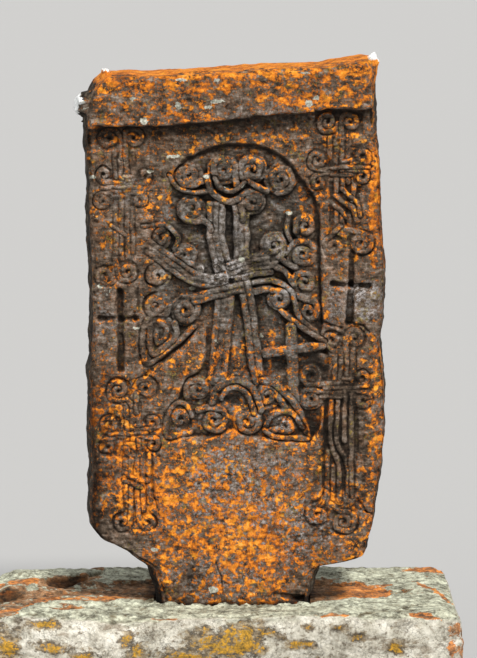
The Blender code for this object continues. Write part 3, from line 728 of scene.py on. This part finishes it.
def read_dirt_and_shade(face, x, z, inside, up_facing):
    """How dark the front is painted: dirt and painted shade in its cuts and hollows, painted light and shade
    by facing, a painted shadow at the niche's edge, darker down the left edge, a painted shadow under the
    cornice, and grimy zones, some of them painted shadows."""
    small = face.read(blurred(face.height, 2.2) - face.height, x, z)
    large = face.read(blurred(face.height, 10) - face.height, x, z)
    # dirt and painted shade in the cuts and hollows, a painted highlight on ridges; painted light on faces
    # turned up, painted shade on faces turned down
    dirt_and_shade = (0.15 + 0.09 * grain(56, x, z, shift=5.3)) * np.clip(small, -2, 3)
    dirt_and_shade += 0.052 * np.clip(large, -5, 10) - 0.15 * up_facing
    dirt_and_shade *= 1 - 0.14 * smooth(inside, 20)
    # a painted shadow of the niche's wall along its upper and right edge
    shaded = smooth(x + 150, 60) * smooth(z - 640, 100)
    dirt_and_shade += 0.4 * shaded * smooth(1 - np.abs(inside - 4) / 9)
    low = smooth(480 - z, 200)
    dirt_and_shade += (0.2 + 0.16 * low) * smooth(16 * low - 304 - x, 14) * smooth(1060 - z, 40)
    # a painted shadow under the cornice
    under = under_cornice(x, z)
    dirt_and_shade += 0.26 * smooth(under, 8) * (1 - smooth(under - 10, 46))
    return dirt_and_shade + sum(patches(GRIME_AND_SHADOWS, x, z, 0.7))


def make_slab():
    """The carved slab, with what its material reads: dirt with painted shade and light, lichen by zones,
    bleached areas, pale crusts.
    """
    face = carve_face()
    piece = stone("carved_slab", slab_shape(face), SLAB_TRIANGLES)
    x, y, z = spots(piece).T
    depth = y + np.minimum(face.read(face.height, x, z), 0)
    front = np.where(x < 0, smooth(12 - depth, 8), smooth(16 - depth, 10))
    behind = smooth(y - 125, 25)
    inside = outline_depth(flowing(NICHE + NICHE[:1], 16), x, z)
    # how far each point faces upwards: it sets painted light on upward faces and painted shade on downward
    # ones, and more lichen on upward faces
    up_facing = face.read(-np.gradient(blurred(face.height, 1.2), axis=0), x, z)
    up_facing = np.clip(up_facing, -1.6, 1.6) * front
    hollow = read_dirt_and_shade(face, x, z, inside, up_facing)
    # the slab's lowest few millimetres darker: a painted shadow at its joint with the base
    foot = smooth(1 - z / (10 + 6 * grain(26, x, shift=1.1)))
    tenon = smooth(140 - z, 30) * (2.2 * smooth(-x, 60) - 0.5 * smooth(x, 60))
    crust = np.max(list(patches(CRUSTS, x, z, 0.4, 12)), axis=0) * smooth(80 - y, 20)
    # on the other sides: darker on the tenon's left and lighter on its right, the painted shadow at the foot,
    # and lighter on the top, a painted highlight, and on the pale crusts
    rim = 0.12 + 0.16 * tenon + 0.3 * foot - 0.36 * np.maximum(0.6 * crest_share(z), crust)
    cover = np.clip(orange_cover(x, depth, z) + 0.1 * behind, 0.004, 0.97)
    odds = np.log(cover / (1 - cover)) + 0.55 * up_facing - 1.2 * np.clip(hollow, 0, 1) * front
    note(piece, crust=crust, hollow=0.4 + np.where(front > 0.5, hollow + 0.5 * foot, rim),
         front=np.maximum(front, 0.8 * behind), lichen_edge=0.518 - 0.036 * odds,
         pale=sum(patches(PALE, x, z)) * front, ash=smooth(inside - 4, 44) * front,
         drawn=smooth(14 - under_cornice(x, z), 10))
    piece.data.materials.append(slab_material())
    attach(piece, "root")
    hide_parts("cross_stone")


# ------------------------------------------------------------------ the base stone

BASE_GRID = 3.6
BASE_TRIANGLES = 190000
BASE_LEFT, BASE_RIGHT = -548.0, 501.0
BASE_FRONT = np.array((
    (-550, -96), (-478, -98), (-272, -128), (-138, -114), (11, -106), (215, -92), (383, -98),
    (501, -92)), float)
BASE_BACK = np.array(((-550, 298), (0, 326), (501, 327)), float)
BASE_MIDDLE, BASE_HALF = np.array((-23.0, 98.0)), np.array((524.0, 230.0))
CORNER = 30.0                 # how far its upright corners are rounded
RIM_DROP, RIM_WIDE = 9.0, 38.0
SOCKET_HALF, SOCKET_FRONT, SOCKET_BACK, SOCKET_DEEP = 177.5, -4.5, 164.5, 70.5
SOCKET_WALL = 1.0             # how wide the slope of the socket's sides is
# Section down the sides: (depth below the top, how far out, how rough)
BASE_SECTION = np.array((
    (0, 0, 0), (9, 1, 5), (24, 9, 9), (60, 14, 6), (130, 12, 10), (210, 4, 8), (260, 0, 0)), float)
# Bare, sunken patches of the top where its crust has gone: (x, near edge, far edge)
BARE_LEFT = np.array((
    (-600, -100, 60), (-534, -98, 74), (-514, -96, 82), (-475, -71, 110), (-440, 4, 146), (-386, 17, 192),
    (-340, 8, 206), (-308, 4, 200), (-198, 29, 229), (-150, 60, 200), (-130, 130, 130)), float)
BARE_RIGHT = np.array((
    (140, 110, 110), (150, 2, 218), (212, 18, 224), (287, 38, 208), (353, 56, 154), (375, 95, 95)), float)
# The foot of the ledge behind the left patch: (x, y), and how high it stands
LEDGE = np.array((
    (-560, 72), (-500, 92), (-445, 150), (-390, 198), (-340, 226), (-316, 292), (-300, 340)), float)
LEDGE_HIGH = 9.0
# Hollows (above 0) and mounds (below 0) of the top: (x, y, half length, half width, depth, turn in degrees)
BASE_HOLLOWS = (
    (-512, 92, 62, 34, 14, 20), (-388, 200, 66, 30, 15, 22), (-318, 262, 34, 12, 10, 50),
    (388, 116, 30, 22, 11, 20), (-470, 262, 70, 30, -5, 8), (-270, 290, 90, 26, -5, 5),
    (-412, 122, 50, 12, -6, 12), (250, 262, 90, 24, -5, 0), (430, 250, 50, 40, -5, 0))


def spread(low, high, step):
    """Evenly spaced numbers from low to high, about a step apart."""
    return np.linspace(low, high, max(int(round((high - low) / step)), 1) + 1)


def bare(x, y):
    """How far inside a bare patch of the top each point is, from its near edge and from its far edge: both
    are ragged."""
    ragged = 9 * grain(34, 0.45 * x, y, shift=2.9) + 4 * grain(9, 0.6 * x, y, shift=4.9)
    best_near = best_far = np.full(np.shape(x), -1e3)
    for rows in (BARE_LEFT, BARE_RIGHT):
        near, far = y - table(rows, 1, x) + ragged, table(rows, 2, x) - y + ragged
        inner = np.minimum(near, far) > np.minimum(best_near, best_far)
        best_near, best_far = np.where(inner, near, best_near), np.where(inner, far, best_far)
    return best_near, best_far


def ovals(rows, x, y):
    """Each of a set of leaning ovals in turn: its amount, and how far inside it each point is, with a ragged
    edge: 1 in the middle, 0 at the edge."""
    ragged = 0.3 * grain(26, 0.5 * x, y, shift=2.9)
    for middle_x, middle_y, half_x, half_y, amount, lean in rows:
        run, across = turned(x - middle_x, y - middle_y, lean)
        yield amount, 1 - np.hypot(run / half_x, across / half_y) - ragged


def highest_oval(rows, x, y, gain):
    """The highest of a set of leaning ovals, each with its own amount, and -1 outside them all."""
    return np.maximum(-1, np.max([gain * amount * inside for amount, inside in ovals(rows, x, y)], axis=0))


def pits(x, y, sign):
    """Depth of the top's hollows (sign 1) or height of its mounds (sign -1)."""
    return sum(max(sign * deep, 0) * smooth(1.7 * inside) for deep, inside in ovals(BASE_HOLLOWS, x, y))


def creases(x, y):
    """The crust's creases: three sizes of noise that are sharp where they cross 0, drawn out sideways."""
    return [np.abs(grain(size, drawn * x, y, shift=shift, octaves=2))
            for size, drawn, shift in ((88, 0.18, 0.9), (36, 0.3, 3.9), (15, 0.55, 6.9))]


def side_lumps(x, y, depth):
    """Creased lumps of the base's rough sides."""
    return np.abs(grain(30, 0.6 * x, 0.6 * y, depth, shift=7.7))


def base_top(x, y, front):
    """Height of the base's top: crusty lobes parted by creases, bare patches sunk behind a raised edge of
    crust, a ledge, hollows and mounds, a ragged lip against the slab, and a worn rim."""
    broad, middling, fine = creases(x, y)
    near, far = bare(x, y)
    inside = smooth(near, 9) * smooth(far, 26)
    height = 8 * broad - 3.5 + (1 - 0.4 * inside) * (6 * middling + 3.4 * fine)
    height += 1.6 * grain(8, 0.6 * x, y, shift=1.9, octaves=2)
    height += 3.5 * smooth(1 - np.abs(near + 7) / 10) * smooth(far, 20) - 7 * inside
    behind = y - table(LEDGE, 1, x)
    ledge = smooth(behind, 11) * (1 - smooth(behind - 20, 110)) * smooth(-300 - x, 30) * smooth(290 - y, 60)
    height += LEDGE_HIGH * ledge - pits(x, y, 1) + pits(x, y, -1)
    away = np.hypot(np.maximum(np.abs(x) - SOCKET_HALF, 0), np.maximum(SOCKET_FRONT - y, 0))
    height += smooth(1 - away / 16) * smooth(8 - y, 12) * (3 + 5 * grain(15, x, shift=5.7))
    rim = np.minimum(np.minimum(x - BASE_LEFT, BASE_RIGHT - x), y - front)
    return height - RIM_DROP * (1 - smooth(rim, RIM_WIDE))


def rounded(x, y, front, back):
    """Pull the upright corners in: a square of side CORNER at each is mapped onto a quarter disc."""
    to_x = np.minimum(x - BASE_LEFT, BASE_RIGHT - x)
    to_y = np.minimum(y - front, back - y)
    u, v = np.clip(1 - to_x / CORNER, 0, 1), np.clip(1 - to_y / CORNER, 0, 1)
    in_x = CORNER * u * (1 - np.sqrt(1 - 0.5 * v * v))
    in_y = CORNER * v * (1 - np.sqrt(1 - 0.5 * u * u))
    return x - np.sign(x) * in_x, y - np.sign(y - BASE_MIDDLE[1]) * in_y


def base_shape():
    """The base: its top with the socket, rough sides, and a flat underside."""
    step = BASE_GRID
    xs = np.concatenate([spread(BASE_LEFT, -SOCKET_HALF, step),
                         spread(-SOCKET_HALF + SOCKET_WALL, SOCKET_HALF - SOCKET_WALL, step),
                         spread(SOCKET_HALF, BASE_RIGHT, step)])
    # v runs from -1 at the front to 0 at the socket, 1 to 2 across the socket, and 3 to 4 behind it
    v = np.concatenate([spread(-1, 0, step / 105), 1 + spread(0, 1, step / 160),
                        3 + spread(0, 1, step / 160)])
    x, v = np.meshgrid(xs, v)
    front, back = table(BASE_FRONT, 1, x), table(BASE_BACK, 1, x)
    across = SOCKET_BACK - SOCKET_FRONT - 2 * SOCKET_WALL
    y = np.select([v <= 0, v <= 2],
                  [SOCKET_FRONT + (SOCKET_FRONT - front) * v, SOCKET_FRONT + SOCKET_WALL + (v - 1) * across],
                  SOCKET_BACK + (v - 3) * (back - SOCKET_BACK))
    socket = (np.abs(x) < SOCKET_HALF) & (y > SOCKET_FRONT) & (y < SOCKET_BACK)
    top = base_top(x, y, front)
    x, y = rounded(x, y, front, back)
    near = np.stack([x, y, np.where(socket, -SOCKET_DEEP, top)], -1)
    outward = (np.stack([x, y], -1) - BASE_MIDDLE) / BASE_HALF
    outward /= np.abs(outward).max(-1, keepdims=True) + 1e-9
    rings = []
    for down in np.concatenate([[1.5, 3.5, 6, 9, 12.5, 16], spread(20, 250, 1.3 * step)]):
        depth = np.full_like(x, down)
        rough = 0.55 * grain(75, x, y, depth, shift=5.1)
        lumps = side_lumps(x, y, depth) + 0.5 * np.abs(grain(11, x, y, depth, shift=2.7))
        push = table(BASE_SECTION, 1, depth) + table(BASE_SECTION, 2, depth) * rough
        push += 3.4 * smooth(depth, 14) * (lumps - 0.3)
        ease = 1 - smooth(down, 180)
        pushed = np.stack([x, y], -1) + outward * push[..., None]
        rings.append(np.dstack([pushed, top * ease - down]))
    far = np.stack([x, y, np.full_like(x, -BASE_HIGH)], -1)
    return skin(near, rings, far)


# Rust-coloured spots of the base: (x, y, half x, half y, how much, turn in degrees)
RUST_SPOTS = (
    (-392, 198, 84, 30, 1, 20), (-514, 94, 76, 34, 1, 20), (452, 300, 50, 34, 1, -12),
    (461, 116, 100, 8, 1, -65), (358, 168, 16, 8, 1, 0), (430, -80, 36, 11, 1, -20),
    (-492, 172, 62, 40, 1, 14), (-364, -36, 42, 26, 1.2, 0), (-318, 286, 26, 8, 0.9, 0),
    (240, -78, 46, 4, 0.5, 0), (-150, -100, 30, 4, 0.7, 0), (462, 226, 18, 5, 0.8, -40))
# Mustard lichen of its front: (x, z, half x, half z, how much, turn in degrees)
MUSTARD_SPOTS = (
    (-414, -15, 30, 11, 1, 0), (-232, -40, 14, 20, 1, 0), (-207, -72, 26, 16, 1, -20),
    (-42, -58, 62, 28, 1, 0), (29, -48, 38, 38, 1, 0), (-53, -22, 24, 8, 0.9, 0), (166, -23, 14, 7, 0.8, 0),
    (237, -24, 14, 7, 0.8, 0), (278, -44, 13, 9, 0.6, 0), (95, -36, 24, 10, 0.8, -20),
    (150, -60, 34, 9, 1, 0), (360, -64, 18, 13, 1, 0), (-501, -66, 26, 30, 0.9, 0),
    (-391, -62, 46, 10, 0.8, 0), (-330, -84, 30, 12, 0.9, 0), (-92, -84, 60, 20, 0.9, 0),
    (-120, -150, 50, 26, 0.9, 10), (250, -140, 60, 26, 0.9, -15), (-330, -170, 60, 30, 0.9, 0),
    (90, -190, 60, 30, 0.9, 20))


def make_base():
    """The base stone, with what its material reads: creases and hollows, the crusted top, rust-coloured
    patches and how orange they are, and mustard lichen with the brown stone bared round it."""
    piece = stone("base_block", base_shape(), BASE_TRIANGLES)
    x, y, z = spots(piece).T
    front = table(BASE_FRONT, 1, x)
    top = smooth(z + 24 + 7 * grain(44, x, y, z, shift=6.6), 12)
    top = top * smooth(y - front + 2 + 10 * grain(40, x, y, shift=8.3), 18)
    near, far = bare(x, y)
    # dirt and painted shade of the top: in creases, a painted shadow in hollows, darker at the foot of the
    # crust's edge, and a painted shadow beside the slab
    broad, middling, fine = creases(x, y)
    hollow = 0.26 + 0.14 * (1 - smooth(broad, 0.08)) + 0.3 * (1 - smooth(middling, 0.1))
    hollow += 0.2 * (1 - smooth(fine, 0.12)) + 0.042 * pits(x, y, 1)
    hollow += 0.45 * smooth(1 - np.abs(near - 3) / 5) * smooth(far, 10)
    beside = smooth(1 - np.maximum(np.abs(x) - SOCKET_HALF, 0) / 34) * smooth(y + 6, 14)
    hollow += (0.18 + 0.26 * smooth(-x, 50)) * beside
    # and of the sides: in their creases, less on the left, more along a band on the right, and less along
    # their upper rim, a painted highlight
    upright = 0.12 + 0.09 * smooth(-z - 8, 20) + 0.32 * (1 - smooth(side_lumps(x, y, -z), 0.1))
    upright -= 0.13 * smooth(-160 - x, 100)
    upright += 0.07 * smooth(x - 60, 80) * smooth(-z - 16, 10) * smooth(60 + z, 20)
    # rust colour: the bare patches, spots, a streak beside the left patch's edge, and the right end
    flat = smooth(z + 24, 10)
    level = 0.34 + 0.46 * np.maximum(smooth(x, 100), smooth(x + 330, 110))
    rust = np.clip(np.minimum(near, far) / 26 - 0.1, -1, level)
    rust = np.maximum(rust, highest_oval(RUST_SPOTS, x, y, 1.7))
    streak = np.maximum(smooth(1 - np.abs(near - 62) / 30), 0.8 * smooth(1 - np.abs(near + 2) / 12))
    streak *= smooth(-215 - x, 40) * smooth(far + 10, 20)
    streak *= 0.8 + 0.35 * grain(30, 0.5 * x, y, shift=3.1)
    rust = np.maximum(rust, 1.7 * streak - 1)
    end = smooth(x - 470, 16) * (1 - flat) * (0.62 + 0.38 * smooth(-30 - y, 40))
    terrace = smooth(y - 110, 60) * smooth(-440 - x, 20)
    bright = np.maximum(0.34 + 0.36 * smooth(x - 210, 60), 0.5 * smooth(0.4 - near / 60))
    bright = np.maximum(bright, 1.1 * streak)
    shown = smooth(front + 40 - y, 20) * (1 - smooth(z + 12, 14))
    mustard = highest_oval(MUSTARD_SPOTS, x, z, 1.2)
    note(piece, hollow=top * hollow + (1 - top) * upright, top=top,
         rust=0.5 + 0.5 * (rust * flat - (1 - flat)) + 0.6 * end,
         orange=bright + 0.5 * terrace - 0.25 * end,
         mustard=0.5 + 0.5 * (mustard * shown - (1 - shown)))
    piece.data.materials.append(base_material())
    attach(piece, "root")
    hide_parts("base_stone")


# ------------------------------------------------------------------ materials

NOISE_MIDDLE = 0.514          # what a noise texture gives on average


class Value:
    """A number or colour in a node tree. Arithmetic with it adds nodes."""

    def __init__(self, finish, socket):
        self.finish, self.socket = finish, socket

    def __add__(self, other):
        return self.finish.sum('ADD', self, other)

    def __sub__(self, other):
        return self.finish.sum('SUBTRACT', self, other)

    def __rsub__(self, other):
        return self.finish.sum('SUBTRACT', other, self)

    def __mul__(self, other):
        return self.finish.sum('MULTIPLY', self, other)

    __radd__, __rmul__ = __add__, __mul__


class Finish:
    """A material's node tree, with a few short ways to add to it. Patterns read object coordinates."""

    def __init__(self, name):
        self.material = bpy.data.materials.new(name)
        self.material.use_nodes = True
        self.nodes, self.links = self.material.node_tree.nodes, self.material.node_tree.links
        self.shader = self.nodes["Principled BSDF"]
        self.place = self.node("TexCoord", "Object")

    def node(self, kind, result, settings=(), **inputs):
        """One output of a new node, once its settings are made and its inputs filled."""
        node = self.nodes.new("ShaderNode" + kind)
        for name, value in dict(settings).items():
            setattr(node, name, value)
        for name, value in inputs.items():
            self.put(node.inputs[name], value)
        return Value(self, node.outputs[result])

    def put(self, socket, value):
        """Link a socket to a value's output, or set its constant."""
        if isinstance(value, Value):
            self.links.new(value.socket, socket)
        elif isinstance(value, tuple) and socket.type == 'RGBA':
            socket.default_value = (*value, 1)
        else:
            socket.default_value = value

    def attribute(self, name):
        """A number written on the piece's vertices."""
        return self.node("Attribute", "Fac", {"attribute_name": name})

    def noise(self, size_mm, detail, rough, stretch=(1, 1, 1), warp=0):
        """Noise with lumps about size_mm long; stretch above 1 squeezes it along that axis."""
        place = self.node("Mapping", "Vector", Vector=self.place, Scale=stretch)
        return self.node("TexNoise", "Fac", Vector=place, Scale=1000 / size_mm, Detail=detail,
                         Roughness=rough, Distortion=warp)

    def cells(self, size_mm, width):
        """1 on the lines between cells about size_mm wide, falling to 0 over a width."""
        away = self.node("TexVoronoi", "Distance", {"feature": 'DISTANCE_TO_EDGE'}, Vector=self.place,
                         Scale=1000 / size_mm)
        return 1 - self.over(away, 0, width)

    def lines(self, value, width):
        """1 where a noise crosses its middle value, falling to 0 over a width: thin winding lines."""
        return 1 - self.over(self.sum('ABSOLUTE', value - NOISE_MIDDLE, 0), 0, width)

    def sum(self, operation, a, b, clamp=False):
        """One step of arithmetic."""
        node = self.nodes.new("ShaderNodeMath")
        node.operation, node.use_clamp = operation, clamp
        self.put(node.inputs[0], a)
        self.put(node.inputs[1], b)
        return Value(self, node.outputs[0])

    def over(self, value, edge, width):
        """0 below an edge and 1 above it, over a width."""
        return self.sum('DIVIDE', value - edge, width, clamp=True)

    def ramp(self, value, *stops):
        """Colours (place, red, green, blue) read along a value."""
        node = self.nodes.new("ShaderNodeValToRGB")
        bar = node.color_ramp.elements
        for at, stop in enumerate(stops):
            element = bar[at] if at < 2 else bar.new(stop[0])
            element.position = stop[0]
            element.color = (*stop[1:], 1)
        self.put(node.inputs["Fac"], value)
        return Value(self, node.outputs["Color"])

    def mix(self, share, under, over, blend='MIX'):
        """One colour laid over another."""
        return self.node("Mix", "Result", {"data_type": 'RGBA', "blend_type": blend},
                         Factor=share, A=under, B=over)

    def tinted(self, share, colour, tint):
        """A colour multiplied by a tint, where share is 1."""
        return self.mix(share, colour, self.mix(1, colour, tint, 'MULTIPLY'))

    def finish(self, colour, roughness, relief, reach):
        """Join the colour and the fine relief to the shader."""
        bump = self.node("Bump", "Normal", Strength=1, Distance=reach, Height=relief)
        for name, value in (("Normal", bump), ("Base Color", colour), ("Roughness", roughness),
                            ("Specular IOR Level", 0.25)):
            self.put(self.shader.inputs[name], value)
        return self.material


def slab_material():
    """Brown-grey stone: streaky grain, bleached flecks, orange lichen by zones, pale crusts, cuts darkened by
    dirt and painted shade, and ridges lit by a painted highlight.
    """
    f = Finish("weathered_slab")
    hollow, front, pale, ash, drawn = map(f.attribute, ("hollow", "front", "pale", "ash", "drawn"))
    streak = f.noise(9, 5, 0.7, (0.45, 1, 1.6))
    grit = f.noise(4.5, 5, 0.75, (1, 1, 0.7))
    tone = 0.4 * f.noise(26, 6, 0.62) + (0.34 * streak + 0.26 * grit)
    base = f.ramp(tone, (0.412, 0.026, 0.019, 0.013), (0.465, 0.074, 0.053, 0.037),
                  (0.515, 0.146, 0.106, 0.076), (0.556, 0.225, 0.175, 0.138), (0.608, 0.38, 0.32, 0.275))
    rusty = f.over(f.noise(30, 6, 0.65), 0.5, 0.12)
    base = f.tinted(0.45 * rusty, base, (1.32, 0.86, 0.55))
    base = f.tinted(ash, base, (0.8, 0.92, 1.04))
    bleached = pale * f.over(f.noise(9, 6, 0.72, (0.8, 1, 1)), 0.478, 0.09)
    whitish = f.ramp(grit, (0.38, 0.2, 0.185, 0.18), (0.6, 0.56, 0.53, 0.52))
    base = f.mix(0.85 * bleached, base, whitish)
    # orange lichen: clumps, streaks and specks where a noise passes the level set by the zone
    edge = f.attribute("lichen_edge")
    clumps = 0.58 * f.noise(17, 3, 0.5) + 0.34 * f.noise(8, 4, 0.65) + 0.042
    patches = drawn * f.noise(17, 8, 0.66, (0.7, 1, 1)) + clumps * (1 - drawn)
    speck = f.over(f.noise(7, 5, 0.7), edge + 0.014, 0.04)
    growth = f.sum('MAXIMUM', f.over(patches, edge, 0.03), 0.9 * speck)
    tint = 0.3 * f.noise(60, 3, 0.6) + (0.42 * f.noise(8, 6, 0.75) + 0.28 * grit)
    tint = tint + 0.05 * (f.over(patches, edge, 0.1) - 0.4)
    bright = f.ramp(tint, (0.4, 0.2, 0.058, 0.012), (0.47, 0.5, 0.143, 0.015), (0.52, 0.8, 0.228, 0.015),
                    (0.58, 0.94, 0.34, 0.028), (0.66, 0.96, 0.51, 0.13))
    yellow = f.over(f.noise(22, 5, 0.65), 0.53, 0.1)
    bright = f.tinted(0.6 * yellow, bright, (0.94, 1.22, 0.95))
    bright = f.tinted(f.over(edge, 0.525, 0.05), bright, (0.7, 0.74, 0.86))
    colour = f.mix(0.95 * growth, base, bright)
    mustard = f.over(f.noise(38, 4, 0.6), 0.58, 0.06) * f.over(f.noise(6, 5, 0.7), 0.5, 0.1)
    colour = f.mix(0.6 * mustard, colour, (0.33, 0.25, 0.045))
    # pale crusts
    flakes = f.over(f.noise(24, 4, 0.6, warp=0.8), 0.71, 0.02)
    crust = f.over(f.attribute("crust") + 1.6 * f.noise(6, 6, 0.75), 1.36, 0.08)
    grey_green = f.ramp(grit, (0.38, 0.28, 0.28, 0.22), (0.6, 0.66, 0.67, 0.58))
    colour = f.mix(f.sum('MAXIMUM', 0.8 * flakes, crust), colour, grey_green)
    # the slab's other sides, darker, and dirt with painted shade and painted highlights over all
    side = f.ramp(f.noise(12, 8, 0.74, (1, 1, 0.6)), (0.38, 0.01, 0.008, 0.006),
                  (0.48, 0.034, 0.026, 0.019), (0.56, 0.09, 0.07, 0.05), (0.68, 0.26, 0.22, 0.17))
    side = f.mix(0.8 * growth, side, bright)
    side = f.mix(0.95 * crust, side, f.ramp(grit, (0.36, 0.52, 0.54, 0.53), (0.56, 0.9, 0.92, 0.92)))
    # hollow sets the darkening of dirt and painted shade, and at its low end a painted highlight
    dirt_and_shade = f.ramp(hollow, (0.05, 1.36, 1.35, 1.34), (0.3, 1.12, 1.11, 1.1), (0.42, 0.94, 0.93, 0.91),
                  (0.62, 0.45, 0.42, 0.38), (0.95, 0.135, 0.118, 0.1))
    colour = f.mix(1, f.mix(front, side, colour), dirt_and_shade, 'MULTIPLY')
    return f.finish(colour, 0.93, grit + (0.7 * streak + 0.35 * growth), 0.003)


def base_material():
    """Grey-green crust on top, chalky and finely crazed on the front, with rust-coloured bare patches,
    mustard lichen on browner stone, and dark creases and hollows of dirt and painted shade."""
    f = Finish("crusted_base")
    hollow, top, rust, orange, mustard = map(f.attribute, ("hollow", "top", "rust", "orange", "mustard"))
    grit = f.noise(7, 7, 0.75)
    mottle = f.noise(15, 8, 0.74, (0.6, 0.8, 1))
    crust = f.ramp(0.64 * mottle + 0.36 * grit, (0.38, 0.09, 0.08, 0.055), (0.445, 0.31, 0.305, 0.225),
                   (0.505, 0.53, 0.535, 0.405), (0.59, 0.8, 0.82, 0.64))
    chalk = f.ramp(0.6 * f.noise(48, 6, 0.66) + 0.4 * grit, (0.37, 0.15, 0.12, 0.085),
                   (0.42, 0.37, 0.34, 0.27), (0.48, 0.54, 0.51, 0.42), (0.57, 0.76, 0.73, 0.63))
    smudges = f.over(f.noise(60, 7, 0.72, (0.5, 1, 1.3)), 0.575, 0.04)
    colour = f.mix(top, f.mix(0.6 * smudges, chalk, (0.23, 0.175, 0.115)), crust)
    dashes = f.over(f.noise(11, 6, 0.74, (0.7, 0.7, 1.2)), 0.58, 0.03)
    colour = f.tinted(0.7 * dashes, colour, (0.36, 0.31, 0.25))
    # dark veins on top, fine crazing on the sides
    veins = top * f.lines(f.noise(40, 7, 0.7, (0.4, 0.8, 1), warp=0.3), 0.016)
    colour = f.mix(0.62 * veins, colour, (0.085, 0.08, 0.055))
    crazing = f.cells(8.5, 0.06) * f.over(f.noise(30, 5, 0.6), 0.44, 0.12)
    cracks = f.lines(f.noise(70, 5, 0.62, warp=0.5), 0.008)
    crazing = f.sum('MAXIMUM', 0.8 * crazing, cracks) * (1 - top)
    colour = f.mix(0.72 * crazing, colour, (0.1, 0.085, 0.065))
    # bare stone, brown or rust-coloured
    brown = f.ramp(f.noise(12, 8, 0.76, (0.55, 0.7, 1)), (0.4, 0.06, 0.04, 0.026),
                   (0.47, 0.2, 0.115, 0.062), (0.54, 0.42, 0.21, 0.09), (0.64, 0.56, 0.42, 0.29))
    glow = f.ramp(f.noise(13, 8, 0.76, (0.55, 0.7, 1)), (0.41, 0.13, 0.065, 0.035),
                  (0.48, 0.42, 0.155, 0.045), (0.545, 0.78, 0.26, 0.05), (0.64, 0.9, 0.42, 0.12))
    bare_stone = f.mix(f.over(orange + f.noise(24, 6, 0.7), 0.84, 0.25), brown, glow)
    ragged = f.noise(20, 8, 0.74, (0.7, 0.8, 1)) - NOISE_MIDDLE
    colour = f.mix(0.95 * f.over(rust + 2.2 * ragged, 0.5, 0.05), colour, bare_stone)
    # mustard lichen, and the brown stone round it
    lobes = 1.9 * f.noise(26, 5, 0.62, (0.8, 1, 1.2)) + 0.8 * f.noise(7, 5, 0.7)
    growing = mustard + (lobes + 0.7 * grit - 1.75)
    earth = f.ramp(f.noise(12, 7, 0.74, (0.6, 1, 1.2)), (0.41, 0.036, 0.025, 0.015),
                   (0.5, 0.145, 0.1, 0.05), (0.6, 0.4, 0.32, 0.2))
    colour = f.mix(0.88 * f.over(growing, 0.18, 0.22), colour, earth)
    ochre = f.ramp(f.noise(7, 6, 0.75), (0.36, 0.13, 0.085, 0.025), (0.48, 0.36, 0.21, 0.03),
                   (0.6, 0.66, 0.34, 0.03))
    colour = f.mix(0.92 * f.over(growing, 0.62, 0.16), colour, ochre)
    # dirt and painted shade in creases and hollows, and a painted highlight where hollow is low
    dirt_and_shade = f.ramp(hollow, (0.08, 1.3, 1.3, 1.32), (0.26, 1.06, 1.06, 1.06), (0.4, 0.9, 0.9, 0.9),
                  (0.66, 0.44, 0.385, 0.32), (0.98, 0.13, 0.1, 0.072))
    colour = f.mix(1, colour, dirt_and_shade, 'MULTIPLY')
    return f.finish(colour, 0.95, 1.3 * grit + (mottle - 0.35 * (crazing + veins)), 0.0028)


# ------------------------------------------------------------------ the studio

FLOOR_HALF, FLOOR_COLOUR = 60.0, (0.46, 0.46, 0.455)
SKY_COLOUR, SKY_STRENGTH = (0.95, 0.97, 1.0), 0.52
SUN_COLOUR = (1.0, 0.97, 0.93)
# (name, power, angle across, turn): angles in degrees
SUNS = (("high_sun", 3.3, 12.0, (38.0, 0.0, 24.0)), ("fill", 0.4, 60.0, (68.0, 0.0, -48.0)))
LENS, FILM_WIDE, VIEW_FAR = 138.0, 36.0, 200.0      # millimetres, millimetres and metres
EYE_AT, LOOK_AT = np.array([0.0143, -5.5, 1.56]), np.array([0.0143, 0.0, 0.63])      # from the slab, metres


def lay_floor():
    """A plain pale floor, far wider than the view."""
    points = FLOOR_HALF * np.array([(-1, -1, 0), (1, -1, 0), (1, 1, 0), (-1, 1, 0)])
    floor = bpy.data.objects.new("floor", mesh_from("floor", points, np.array([[0, 1, 2, 3]])))
    bpy.context.scene.collection.objects.link(floor)
    pale = Finish("pale_floor")
    pale.put(pale.shader.inputs["Base Color"], FLOOR_COLOUR)
    pale.put(pale.shader.inputs["Roughness"], 0.9)
    floor.data.materials.append(pale.material)


def hang_lights():
    """A broad soft sun from above, a little to the right, a weak fill, and an even grey sky."""
    world = bpy.data.worlds.new("studio")
    world.use_nodes = True
    background = world.node_tree.nodes["Background"]
    background.inputs["Color"].default_value = (*SKY_COLOUR, 1)
    background.inputs["Strength"].default_value = SKY_STRENGTH
    bpy.context.scene.world = world
    for name, power, angle, turn in SUNS:
        lamp = bpy.data.lights.new(name, 'SUN')
        lamp.energy = power
        lamp.angle = math.radians(angle)
        lamp.color = SUN_COLOUR
        light = bpy.data.objects.new(name, lamp)
        light.rotation_euler = [math.radians(t) for t in turn]
        bpy.context.scene.collection.objects.link(light)


def set_camera():
    """A long lens in front of the slab, a little above its top, looking slightly down."""
    data = bpy.data.cameras.new("camera")
    data.lens, data.sensor_width, data.clip_end = LENS, FILM_WIDE, VIEW_FAR
    camera = bpy.data.objects.new("camera", data)
    camera.location = SLAB_ORIGIN + EYE_AT
    tilt = math.atan2(LOOK_AT[2] - EYE_AT[2], LOOK_AT[1] - EYE_AT[1])
    camera.rotation_euler = (math.pi / 2 + tilt, 0, 0)
    bpy.context.scene.collection.objects.link(camera)
    bpy.context.scene.camera = camera


make_slab()
make_base()
lay_floor()
hang_lights()
set_camera()
bpy.context.scene.view_settings.view_transform = 'Standard'
